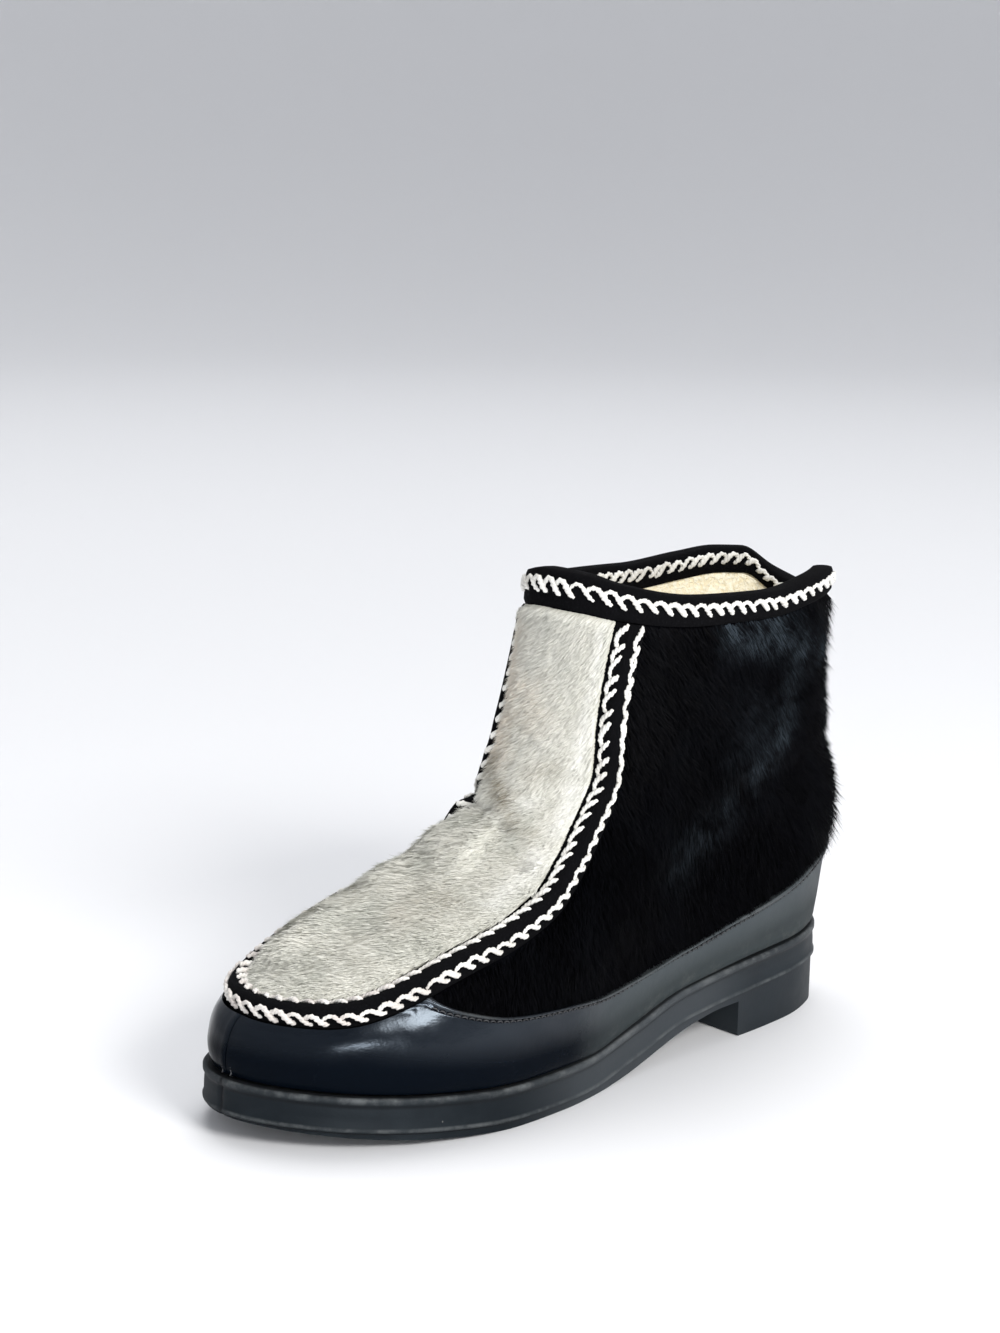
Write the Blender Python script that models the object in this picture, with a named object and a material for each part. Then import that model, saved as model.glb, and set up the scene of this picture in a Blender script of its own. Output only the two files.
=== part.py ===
"""A left ankle boot of the mukluk kind, standing empty on its wedge sole.

Metres, +X toward the toe, +Y toward the outer side of the foot, +Z up. The
origin is the middle of the heel's flat ground face.

The skin of the boot is one surface, skin(turn, rise): turn goes round the
boot from the heel (0) over the outer side to the toe (1) and back over the
inner side (2), and rise goes up from the sole (0) to the collar (1). The
upper is a wall inside that skin. The leather band, the pale front piece and
the folded tapes lie on it, each cut from the same grid of points.
"""

import math

import bmesh
import bpy
import numpy as np
from mathutils import Vector

# Driving sizes, in metres.
SOLE_LENGTH = 0.275
BALL_WIDTH = 0.092
HEEL_WIDTH = 0.066
SHAFT_WIDTH = 0.0705
SHAFT_DEPTH = 0.139
INSTEP_HEIGHT = 0.083
SHAFT_HEIGHT = 0.173
BACK_HEIGHT = 0.167
RIM_WAVE = 0.006
TOE_TURN = 0.012

HEEL_STACK = 0.0315
FORE_STACK = 0.0158
TOE_SPRING = 0.008
SIDE_BAND = 0.0112
SOLE_BEAD = 0.0028
SOLE_STEP = 0.0009
HEEL_BLOCK = 0.068
ARCH_RISE = 0.0136

WALL = 0.004
COVER = 0.0017
GAP = 0.00045
SEAT = 0.0010
INSOLE = 0.003

TAPE_WIDTH = 0.0120
TAPE_FOLD = 0.0036
TAPE_RISE = 0.0046
TAPE_EDGE = 0.0012
COLLAR_TAPE = 0.0086
COLLAR_THICK = 0.0016

# Where the origin lies, as a share of the sole's length from its back.
REST_SHARE = 0.125

# Cells of the grid: heel line to tape, across the tape, tape to front line.
SIDE_CELLS = 14
TAPE_CELLS = 3
FRONT_CELLS = 6
BAND_ROWS = 3
SHAFT_ROWS = 11
SOLE_CUTS = 36

# Outline of the sole's top edge. Columns: share of the length from the heel,
# outer and inner half as shares of the heel width, then of the ball width.
OUTLINE = (
    (0.00, 0.000, 0.000, 0.000, 0.000),
    (0.02, 0.212, 0.212, 0.000, 0.000),
    (0.06, 0.356, 0.356, 0.000, 0.000),
    (0.14, 0.470, 0.462, 0.000, 0.000),
    (0.25, 0.515, 0.485, 0.000, 0.000),
    (0.38, 0.270, 0.220, 0.192, 0.163),
    (0.50, 0.000, 0.000, 0.429, 0.321),
    (0.62, 0.000, 0.000, 0.500, 0.402),
    (0.72, 0.000, 0.000, 0.527, 0.478),
    (0.82, 0.000, 0.000, 0.489, 0.473),
    (0.90, 0.000, 0.000, 0.397, 0.397),
    (0.96, 0.000, 0.000, 0.255, 0.266),
    (0.99, 0.000, 0.000, 0.125, 0.136),
    (1.00, 0.000, 0.000, 0.000, 0.000),
)

# Height of the sole's top edge. Columns: share of the length, shares of the
# heel stack, the fore stack and the toe spring.
SOLE_TOP = (
    (0.00, 1.000, 0.000, 0.000),
    (0.12, 0.984, 0.000, 0.000),
    (0.24, 0.946, 0.000, 0.000),
    (0.36, 0.600, 0.480, 0.000),
    (0.46, 0.250, 0.768, 0.000),
    (0.56, 0.000, 1.000, 0.000),
    (0.70, 0.000, 1.013, 0.000),
    (0.85, 0.000, 1.000, 0.340),
    (1.00, 0.000, 1.000, 0.780),
)

# Underside of the sole. Columns: share of the length, shares of the arch
# rise and of the toe spring.
SOLE_UNDER = (
    (0.262, 1.00, 0.00),
    (0.300, 0.98, 0.00),
    (0.340, 0.87, 0.00),
    (0.380, 0.69, 0.00),
    (0.420, 0.46, 0.00),
    (0.460, 0.25, 0.00),
    (0.500, 0.09, 0.00),
    (0.545, 0.00, 0.00),
    (0.700, 0.00, 0.00),
    (0.760, 0.00, 0.08),
    (0.820, 0.00, 0.24),
    (0.880, 0.00, 0.46),
    (0.940, 0.00, 0.72),
    (1.000, 0.00, 1.00),
)

# Sections of the skin, from the sole to the collar. Columns: rise, back line
# as a share of the sole's length, back height as a share from the heel stack
# to the back height, front line as shares of the sole's length and the shaft
# depth, front height as shares of the instep height and of the shaft above
# it, how much of the section is shaft, outer and inner half as shares of the
# shaft width, and how much of the sole's outline the rest has.
SECTIONS = (
    (0.0, 0.0055, 0.000, 0.9910, 0.000, 0.265, 0.000, 0.00, 0.511, 0.468, 0.985),
    (0.1, -0.0018, 0.078, 0.9870, 0.000, 0.367, 0.000, 0.00, 0.511, 0.468, 1.000),
    (0.2, -0.0109, 0.166, 0.9710, 0.000, 0.494, 0.000, 0.00, 0.511, 0.468, 0.990),
    (0.3, -0.0218, 0.255, 0.9145, 0.000, 0.614, 0.000, 0.06, 0.518, 0.475, 0.960),
    (0.4, -0.0291, 0.343, 0.8000, 0.083, 0.723, 0.000, 0.18, 0.518, 0.475, 0.910),
    (0.5, -0.0236, 0.432, 0.6000, 0.302, 0.849, 0.000, 0.38, 0.504, 0.468, 0.860),
    (0.6, -0.0055, 0.528, 0.4364, 0.432, 1.000, 0.000, 0.62, 0.489, 0.454, 0.830),
    (0.7, 0.0073, 0.631, 0.2000, 0.748, 1.000, 0.189, 0.84, 0.482, 0.454, 0.820),
    (0.8, 0.0145, 0.742, 0.0000, 1.072, 1.000, 0.444, 0.95, 0.489, 0.461, 0.800),
    (0.9, 0.0164, 0.867, 0.0000, 1.025, 1.000, 0.722, 1.00, 0.496, 0.475, 0.800),
    (1.0, 0.0164, 1.000, 0.0000, 1.000, 1.000, 1.000, 1.00, 0.511, 0.489, 0.800),
)

# How the collar's edge rises and falls. Columns: turn, share of the wave.
RIM = (
    (0.00, -1.25),
    (0.08, -0.35),
    (0.20, 0.28),
    (0.30, 0.05),
    (0.45, -0.55),
    (0.62, -0.47),
    (0.80, 0.20),
    (0.92, 0.74),
    (1.00, 0.80),
    (1.15, 0.27),
    (1.36, -0.33),
    (1.50, -0.33),
    (1.65, 0.17),
    (1.74, 0.50),
    (1.82, 0.50),
    (1.92, -0.62),
    (2.00, -1.25),
)

# The seam between front piece and sides, from the middle of the toe up to
# the collar, further forward on the inner side of the shaft. Columns: turn
# from the heel on the outer side, then on the inner side, and rise.
SEAM = (
    (1.000, 1.000, 0.240),
    (0.930, 0.930, 0.239),
    (0.860, 0.860, 0.243),
    (0.826, 0.826, 0.263),
    (0.799, 0.799, 0.308),
    (0.768, 0.768, 0.372),
    (0.736, 0.742, 0.432),
    (0.722, 0.742, 0.500),
    (0.742, 0.778, 0.580),
    (0.762, 0.832, 0.660),
    (0.768, 0.860, 0.740),
    (0.786, 0.866, 0.820),
    (0.789, 0.859, 0.900),
    (0.776, 0.846, 1.000),
)

# Where on the seam the grid turns its corner, as a share of its length.
SEAM_CORNER = 0.21

# Top edge of the leather band along the side, the same on both sides.
# Columns: turn from the heel, rise.
BAND_TOP = (
    (0.00, 0.285),
    (0.12, 0.276),
    (0.20, 0.246),
    (0.26, 0.206),
    (0.34, 0.168),
    (0.42, 0.141),
    (0.50, 0.141),
    (0.58, 0.163),
    (0.66, 0.187),
    (0.70, 0.212),
    (0.75, 0.251),
    (0.80, 0.310),
)

# Colours as linear values, with roughness.
LOOKS = {
    "outsole": ((0.018, 0.019, 0.021, 1.0), 0.55),
    "upper": ((0.006, 0.006, 0.008, 1.0), 0.90),
    "front_panel": ((0.56, 0.54, 0.47, 1.0), 0.90),
    "leather_band_outer": ((0.016, 0.019, 0.024, 1.0), 0.28),
    "leather_band_inner": ((0.016, 0.019, 0.024, 1.0), 0.28),
    "seam_tape": ((0.012, 0.012, 0.013, 1.0), 0.80),
    "collar_tape": ((0.012, 0.012, 0.013, 1.0), 0.80),
    "insole": ((0.70, 0.62, 0.44, 1.0), 0.95),
}


def monotone(x, table_x, table_y):
    """A cubic through a table's points that never swings past them."""
    xs = np.asarray(table_x, float)
    ys = np.asarray(table_y, float)
    step = np.diff(xs)
    slope = np.diff(ys) / step
    tangent = np.zeros(len(xs))
    tangent[0] = slope[0]
    tangent[-1] = slope[-1]
    for k in range(1, len(xs) - 1):
        if slope[k - 1] * slope[k] > 0:
            first = 2 * step[k] + step[k - 1]
            second = step[k] + 2 * step[k - 1]
            tangent[k] = (first + second) / (first / slope[k - 1] + second / slope[k])
    return hermite(x, xs, ys, tangent)


def flowing(x, table_x, table_y):
    """A smooth cubic through a table's points."""
    xs = np.asarray(table_x, float)
    ys = np.asarray(table_y, float)
    return hermite(x, xs, ys, np.gradient(ys, xs))


def hermite(x, xs, ys, tangent):
    """The cubic with these values and slopes at xs."""
    x = np.clip(x, xs[0], xs[-1])
    k = min(max(int(np.searchsorted(xs, x)) - 1, 0), len(xs) - 2)
    step = xs[k + 1] - xs[k]
    s = (x - xs[k]) / step
    value = (2 * s**3 - 3 * s**2 + 1) * ys[k]
    value += (s**3 - 2 * s**2 + s) * step * tangent[k]
    value += (3 * s**2 - 2 * s**3) * ys[k + 1]
    value += (s**3 - s**2) * step * tangent[k + 1]
    return float(value)


def column(table, index):
    """One column of a table."""
    return [row[index] for row in table]


def outline_half(share, side):
    """Half width of the sole's top edge at a share of its length."""
    pick = 1 if side > 0 else 2
    halves = [HEEL_WIDTH * row[pick] + BALL_WIDTH * row[pick + 2] for row in OUTLINE]
    squares = [half * half for half in halves]
    return math.sqrt(max(monotone(share, column(OUTLINE, 0), squares), 0.0))


def toe_shift(share):
    """How far the sole's middle line has turned in toward the other foot."""
    return -TOE_TURN * max((share - 0.55) / 0.45, 0.0) ** 1.6


def sole_top(x):
    """Height of the sole's top edge at a distance from its back."""
    heights = [HEEL_STACK * a + FORE_STACK * b + TOE_SPRING * c for _, a, b, c in SOLE_TOP]
    return monotone(x / SOLE_LENGTH, column(SOLE_TOP, 0), heights)


def section(rise):
    """The section of the skin at a rise, from the table in real sizes."""
    rows = []
    for row in SECTIONS:
        back_x = SOLE_LENGTH * row[1]
        back_z = HEEL_STACK + (BACK_HEIGHT - HEEL_STACK) * row[2]
        front_x = SOLE_LENGTH * row[3] + SHAFT_DEPTH * row[4]
        front_z = INSTEP_HEIGHT * row[5] + (SHAFT_HEIGHT - INSTEP_HEIGHT) * row[6]
        outer = SHAFT_WIDTH * row[8]
        inner = SHAFT_WIDTH * row[9]
        rows.append((back_x, back_z, front_x, front_z, row[7], outer, inner, row[10]))
    steps = column(SECTIONS, 0)
    return [flowing(rise, steps, [row[k] for row in rows]) for k in range(8)]


SKIN_CACHE = {}


def skin(turn, rise):
    """A point of the boot's visible skin."""
    turn = turn % 2.0
    key = round(rise, 9)
    if key not in SKIN_CACHE:
        SKIN_CACHE[key] = section(rise)
    back_x, back_z, front_x, front_z, shaft, outer, inner, outline = SKIN_CACHE[key]
    side = 1 if turn <= 1.0 else -1
    angle = math.pi * turn
    share = 0.5 - 0.5 * math.cos(angle)
    foot = outline_half(share, side) * outline
    oval = max(1 - abs(2 * share - 1) ** 2.7, 0.0) ** 0.4
    leg = (outer if side > 0 else inner) * oval
    x = back_x + (front_x - back_x) * share
    z = back_z + (front_z - back_z) * share
    low = section_line(share)
    z += (sole_top(x) - low) * max(1 - rise / 0.35, 0.0) ** 1.5
    y = side * ((1 - shaft) * foot + shaft * leg)
    y += toe_shift(min(max(x / SOLE_LENGTH, 0.0), 1.0))
    wave = RIM_WAVE * monotone(turn, column(RIM, 0), column(RIM, 1))
    z += wave * max((rise - 0.6) / 0.4, 0.0) ** 2
    return np.array((x, y, z))


def section_line(share):
    """Height of the lowest section's straight line at a share of its length."""
    back = HEEL_STACK + (BACK_HEIGHT - HEEL_STACK) * SECTIONS[0][2]
    front = INSTEP_HEIGHT * SECTIONS[0][5]
    return back + (front - back) * share


def slopes(turn, rise):
    """How the skin moves with turn and with rise."""
    step = 0.004
    low = max(rise - step, 0.0)
    high = min(rise + step, 1.0)
    along = (skin(turn + step, rise) - skin(turn - step, rise)) / (2 * step)
    up = (skin(turn, high) - skin(turn, low)) / (high - low)
    return along, up


def unit(vector):
    """The same direction at length one."""
    return vector / np.linalg.norm(vector)


def outward(turn, rise):
    """The skin's outward direction.

    It is level at the sole and the collar, and longer there by as much as the
    skin leans, so that walls offset along it stay parallel.
    """
    along, up = slopes(turn, rise)
    normal = unit(np.cross(up, along))
    if rise < 0.001 or rise > 0.999:
        level = unit(np.array((normal[0], normal[1], 0.0)))
        normal = level / max(float(np.dot(level, normal)), 0.5)
    return normal


class SeamPath:
    """The seam's curve on one side, measured along its length."""

    def __init__(self, side):
        self.side = side
        self.knots = list(range(len(SEAM)))
        self.places = [self.raw(k * 0.05) for k in range(20 * (len(SEAM) - 1) + 1)]
        points = [skin(*place) for place in self.places]
        lengths = [0.0]
        for a, b in zip(points, points[1:]):
            lengths.append(lengths[-1] + float(np.linalg.norm(b - a)))
        self.lengths = lengths
        self.total = lengths[-1]

    def raw(self, knot):
        turn = flowing(knot, self.knots, column(SEAM, 0 if self.side > 0 else 1))
        rise = flowing(knot, self.knots, column(SEAM, 2))
        return (turn if self.side > 0 else 2.0 - turn), min(rise, 1.0)

    def at(self, length):
        """Turn and rise at a distance from the middle of the toe."""
        turn = np.interp(length, self.lengths, [p[0] for p in self.places])
        rise = np.interp(length, self.lengths, [p[1] for p in self.places])
        return float(turn), float(rise)

    def beside(self, length, offset):
        """Turn and rise at an offset from the seam, positive on the front piece."""
        turn, rise = self.at(length)
        ahead = skin(*self.at(min(length + 0.002, self.total)))
        behind = skin(*self.at(max(length - 0.002, 0.0)))
        tangent = unit(ahead - behind)
        across = unit(np.cross(outward(turn, rise), tangent)) * (-1 if self.side < 0 else 1)
        for _ in range(3):
            along, up = slopes(turn, min(rise, 0.995))
            wanted = skin(*self.at(length)) + across * offset - skin(turn, rise)
            basis = np.array((along, up)).T
            move = np.linalg.lstsq(basis, wanted, rcond=None)[0]
            turn += float(move[0])
            rise = min(max(rise + float(move[1]), 0.0), 1.0)
        return turn, rise


def collar_drop():
    """How much rise the collar tape covers."""
    height = skin(0.5, 1.0)[2] - skin(0.5, 0.9)[2]
    return 0.1 * COLLAR_TAPE / height


def side_grid(side):
    """Turn and rise of each grid point on one side, from heel line to toe line.

    Rows go up: the leather band, three strips across the tape at the toe,
    the shaft, and the collar tape. Columns go from the heel line to the seam,
    three strips across the tape, and on to the front line.
    """
    path = SeamPath(side)
    corner = path.total * SEAM_CORNER
    half = TAPE_WIDTH / 2
    offsets = (-half, -TAPE_FOLD / 2, TAPE_FOLD / 2, half)
    first = SIDE_CELLS
    last = SIDE_CELLS + TAPE_CELLS
    columns = last + FRONT_CELLS + 1
    tape_row = BAND_ROWS
    inner_row = BAND_ROWS + TAPE_CELLS
    rows = inner_row + SHAFT_ROWS + 2
    collar = 1.0 - collar_drop()
    place = {}

    # The corner where the tape turns from the toe to the side.
    for i, across in enumerate(offsets):
        for j, up in enumerate(offsets):
            spot = path.beside(corner + (up - across), min(across, up))
            place[first + i, tape_row + j] = spot

    # Across the tape at the toe.
    for i in range(1, FRONT_CELLS + 1):
        share = i / FRONT_CELLS
        for j, up in enumerate(offsets):
            start = corner + (up - offsets[-1])
            spot = path.beside(start * (1 - share), up)
            turn = spot[0] if i < FRONT_CELLS else 1.0
            place[last + i, tape_row + j] = (turn, spot[1])

    # Across the tape up the side. The first rows lean as the corner does.
    end = length_at_rise(path, collar)
    for r in range(1, SHAFT_ROWS + 1):
        share = r / SHAFT_ROWS
        lean = max(1 - 2.2 * share, 0.0)
        for i, across in enumerate(offsets):
            start = corner + (offsets[-1] - across)
            even = corner + (end - corner) * share
            length = start + (end - start) * share
            length = even + (length - even) * lean if share < 1 else end
            spot = path.beside(length, across)
            rise = spot[1] if r < SHAFT_ROWS else collar
            place[first + i, inner_row + r] = (spot[0], rise)
    for i in range(TAPE_CELLS + 1):
        turn = place[first + i, inner_row + SHAFT_ROWS][0]
        place[first + i, rows - 1] = (turn, 1.0)

    # The leather band below the tape.
    for i in range(first, columns):
        turn, rise = place[i, tape_row]
        for j in range(BAND_ROWS):
            share = j / BAND_ROWS
            place[i, j] = (turn, rise * share)

    # Heel line to tape.
    top_turn, top_rise = place[first, inner_row]
    for j in range(rows):
        turn, rise = place[first, j]
        heel = 0.0 if side > 0 else 2.0
        for i in range(SIDE_CELLS):
            share = i / SIDE_CELLS
            here = heel + (turn - heel) * share
            if j <= inner_row:
                band = band_top(here, top_turn, top_rise, side)
                here_rise = band * rise / top_rise
            elif j == rows - 1:
                here_rise = 1.0
            else:
                band = band_top(here, top_turn, top_rise, side)
                low_edge = top_rise
                here_rise = band + (collar - band) * (rise - low_edge) / (collar - low_edge)
            place[i, j] = (here, here_rise)

    # Tape to front line.
    toe_rise = place[columns - 1, inner_row][1]
    edge_rise = place[last, inner_row][1]
    for j in range(inner_row + 1, rows):
        turn, rise = place[last, j]
        share_up = (rise - edge_rise) / (collar - edge_rise)
        front_rise = min(toe_rise + (collar - toe_rise) * share_up, collar)
        if j == rows - 1:
            front_rise = 1.0
        for i in range(1, FRONT_CELLS + 1):
            share = i / FRONT_CELLS
            eased = share * (2 - share) * 0.5 + share * 0.5
            here = turn + (1.0 - turn) * share
            place[last + i, j] = (here, rise + (front_rise - rise) * eased)
    return place, columns, rows


def length_at_rise(path, rise):
    """Distance along the seam at which it reaches a rise."""
    rises = [p[1] for p in path.places]
    return float(np.interp(rise, rises[20 * 3:], path.lengths[20 * 3:]))


def band_top(turn, edge_turn, edge_rise, side):
    """Rise of the leather band's top edge, met exactly at the tape."""
    here = turn if side > 0 else 2.0 - turn
    edge = edge_turn if side > 0 else 2.0 - edge_turn
    table = monotone(here, column(BAND_TOP, 0), column(BAND_TOP, 1))
    at_edge = monotone(edge, column(BAND_TOP, 0), column(BAND_TOP, 1))
    fade = max(1 - (edge - here) / 0.22, 0.0)
    return table + (edge_rise - at_edge) * fade * fade


class Grid:
    """The closed grid round the boot, with a point and a direction each."""

    def __init__(self):
        outer, count, self.rows = side_grid(1)
        inner, _, _ = side_grid(-1)
        self.half = count - 1
        self.columns = 2 * self.half
        self.place = {}
        for j in range(self.rows):
            for i in range(count):
                self.place[i, j] = outer[i, j]
            for i in range(1, count - 1):
                self.place[self.columns - i, j] = inner[i, j]
        self.normal = {key: outward(*spot) for key, spot in self.place.items()}
        self.base = {}
        for key, spot in self.place.items():
            point = skin(*spot) - self.normal[key] * (COVER + GAP)
            if key[1] == 0:
                point[2] = sole_top(point[0])
            self.base[key] = point

    def at(self, i, j, height=0.0):
        """A point above the base, along the surface's own direction."""
        key = (i % self.columns, j)
        point = self.base[key] + self.normal[key] * height
        if j == 0:
            point = np.array((point[0], point[1], sole_top(point[0])))
        return point


def new_object(name, vertices, faces, group):
    """A mesh object in metres from points measured from the sole's back."""
    rest = SOLE_LENGTH * REST_SHARE
    points = [Vector((float(p[0] - rest), float(p[1]), float(p[2]))) for p in vertices]
    mesh = bpy.data.meshes.new(name)
    mesh.from_pydata(points, [], faces)
    body = bmesh.new()
    body.from_mesh(mesh)
    bmesh.ops.recalc_face_normals(body, faces=body.faces)
    body.to_mesh(mesh)
    body.free()
    mesh.update()
    part = bpy.data.objects.new(name, mesh)
    group.objects.link(part)
    if name in LOOKS:
        mesh.materials.append(material(name))
        mesh.set_sharp_from_angle(angle=math.radians(40))
    return part


def material(name):
    """The part's own material."""
    colour, rough = LOOKS[name]
    made = bpy.data.materials.new(name)
    made.use_nodes = True
    shader = made.node_tree.nodes["Principled BSDF"]
    shader.inputs["Base Color"].default_value = colour
    shader.inputs["Roughness"].default_value = rough
    shader.inputs["Metallic"].default_value = 0.0
    made.diffuse_color = colour
    return made


def piece_on(grid, cells, height, trim):
    """A closed piece over some cells of the grid.

    Its underside lies one gap above the base and its top at height(i, j).
    The edge is drawn in by trim, so that neighbours don't touch.
    """
    cells = set(cells)
    wrap = grid.columns
    inside = {}
    for i, j in cells:
        for a, b in ((i, j), (i + 1, j), (i + 1, j + 1), (i, j + 1)):
            inside.setdefault((a % wrap, b), set()).add((i, j))

    def middle(cell):
        i, j = cell
        corners = [grid.at(i + a, j + b) for a, b in ((0, 0), (1, 0), (1, 1), (0, 1))]
        return sum(corners) / 4

    edges = {}
    for i, j in cells:
        loop = ((i, j), (i + 1, j), (i + 1, j + 1), (i, j + 1))
        for a, b in zip(loop, loop[1:] + loop[:1]):
            a = (a[0] % wrap, a[1])
            b = (b[0] % wrap, b[1])
            if (b, a) in edges:
                del edges[b, a]
            else:
                edges[a, b] = (i, j)
    shift = {}
    for (a, b), cell in edges.items():
        along = unit(grid.at(*b) - grid.at(*a))
        for key in (a, b):
            inward = np.cross(grid.normal[key], along)
            if np.dot(inward, middle(cell) - grid.at(*a)) < 0:
                inward = -inward
            shift.setdefault(key, []).append(unit(inward))
    index = {}
    vertices = []
    for key in sorted(inside):
        move = np.zeros(3)
        if key in shift:
            total = sum(shift[key])
            size = float(np.dot(unit(total), shift[key][0]))
            move = unit(total) * trim / max(size, 0.5)
        if key[1] == 0:
            move = np.array((move[0], move[1], 0.0)) * 0
            if key in shift and len(shift[key]) > 1:
                flat = [s for s in shift[key] if abs(s[2]) < 0.7]
                if flat:
                    move = np.array((flat[0][0], flat[0][1], 0.0)) * trim
        for under in (True, False):
            level = GAP if under else height(*key)
            point = grid.at(key[0], key[1], level) + move
            if key[1] == 0:
                point[2] = sole_top(point[0])
            index[key, under] = len(vertices)
            vertices.append(point)
    faces = []
    for i, j in cells:
        loop = [(a % wrap, b) for a, b in ((i, j), (i + 1, j), (i + 1, j + 1), (i, j + 1))]
        for under in (True, False):
            a, b, c, d = [index[key, under] for key in loop]
            faces.append((a, b, c))
            faces.append((a, c, d))
    for a, b in edges:
        low_a, low_b = index[a, True], index[b, True]
        high_a, high_b = index[a, False], index[b, False]
        faces.append((low_a, low_b, high_b))
        faces.append((low_a, high_b, high_a))
    return vertices, faces


def tape_height(grid, tape_row, inner_row):
    """Heights of the seam tape: thin at its edges, raised along its fold."""
    top = inner_row + SHAFT_ROWS

    def height(i, j):
        i = min(i, grid.columns - i)
        low_edge = i == SIDE_CELLS or j == tape_row
        high_edge = i >= SIDE_CELLS + TAPE_CELLS and j >= inner_row
        rise = TAPE_EDGE if low_edge or high_edge else TAPE_RISE
        if j == top:
            rise = min(rise, COLLAR_THICK)
        elif j == top - 1:
            rise = min(rise, (COLLAR_THICK + TAPE_RISE) / 2)
        return GAP + rise

    return height


def make_upper(grid, group):
    """The hollow body of the boot, open at the collar and underneath."""
    vertices = []
    index = {}
    for i in range(grid.columns):
        for j in range(grid.rows):
            index[i, j, 0] = len(vertices)
            vertices.append(grid.at(i, j))
            index[i, j, 1] = len(vertices)
            vertices.append(grid.at(i, j, -WALL))
    faces = []
    for i in range(grid.columns):
        n = (i + 1) % grid.columns
        for j in range(grid.rows - 1):
            for side in (0, 1):
                a, b = index[i, j, side], index[n, j, side]
                c, d = index[n, j + 1, side], index[i, j + 1, side]
                faces.append((a, b, c))
                faces.append((a, c, d))
        for j in (0, grid.rows - 1):
            a, b = index[i, j, 0], index[n, j, 0]
            c, d = index[n, j, 1], index[i, j, 1]
            faces.append((a, b, c))
            faces.append((a, c, d))
    return new_object("upper", vertices, faces, group)


def make_collar_tape(grid, group):
    """The tape folded over the collar's edge, down both its faces."""
    top = grid.rows - 1
    vertices = []
    ring = []
    for i in range(grid.columns):
        out = unit(np.array((*grid.normal[i, top][:2], 0.0)))
        up = np.array((0.0, 0.0, 1.0))
        outer = grid.at(i, top)
        inner = grid.at(i, top, -WALL)
        low_out = grid.normal[i, top - 1]
        trim = -unit(grid.at(i, top - 1) - outer) * GAP / 2
        under = grid.at(i, top - 1) + trim
        lining = grid.at(i, top - 1, -WALL) + trim
        thick = GAP + COLLAR_THICK
        ring.append(
            (
                under + low_out * GAP,
                outer + (out + up) * GAP,
                inner + (up - out) * GAP,
                lining - low_out * GAP,
                lining - low_out * thick,
                inner - out * thick + up * GAP,
                inner - out * (GAP + COLLAR_THICK / 3) + up * thick,
                outer + out * (GAP + COLLAR_THICK / 3) + up * thick,
                outer + out * thick + up * GAP,
                under + low_out * thick,
            )
        )
        vertices.extend(ring[-1])
    count = len(ring[0])
    faces = []
    for i in range(grid.columns):
        n = (i + 1) % grid.columns
        for k in range(count):
            m = (k + 1) % count
            a, b = i * count + k, n * count + k
            c, d = n * count + m, i * count + m
            faces.append((a, b, c))
            faces.append((a, c, d))
    return new_object("collar_tape", vertices, faces, group)


def make_insole(grid, group):
    """The insole, inside the upper and on the sole."""
    half = grid.half
    clear = GAP + 0.0001
    loops = []
    for lift, level in ((0.0, 0), (INSOLE, 1)):
        loop = []
        for i in range(grid.columns):
            foot = grid.at(i, 0, -WALL)
            above = grid.at(i, 1, -WALL)
            share = (INSOLE / (above[2] - foot[2])) if level else 0.0
            point = foot + (above - foot) * share
            flat = unit(np.array((*grid.normal[i, 0][:2], 0.0)))
            point = point - flat * clear
            point[2] = sole_top(point[0]) + GAP - SEAT / 2 + lift
            loop.append(point)
        loops.append(loop)
    vertices = loops[0] + loops[1]
    count = grid.columns
    faces = []
    for i in range(count):
        n = (i + 1) % count
        faces.append((i, n, count + n))
        faces.append((i, count + n, count + i))
    for base in (0, count):
        for i in range(half):
            a, b = i, i + 1
            c, d = (count - i - 1) % count, (count - i) % count
            if i == 0:
                faces.append((base + a, base + b, base + c))
            elif i == half - 1:
                faces.append((base + a, base + b, base + d))
            else:
                faces.append((base + a, base + b, base + c))
                faces.append((base + a, base + c, base + d))
    return new_object("insole", vertices, faces, group)


def sole_stations():
    """Shares of the length at which the sole's outline is cut, close at the ends."""
    return [0.5 - 0.5 * math.cos(math.pi * k / SOLE_CUTS) for k in range(SOLE_CUTS + 1)]


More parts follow.
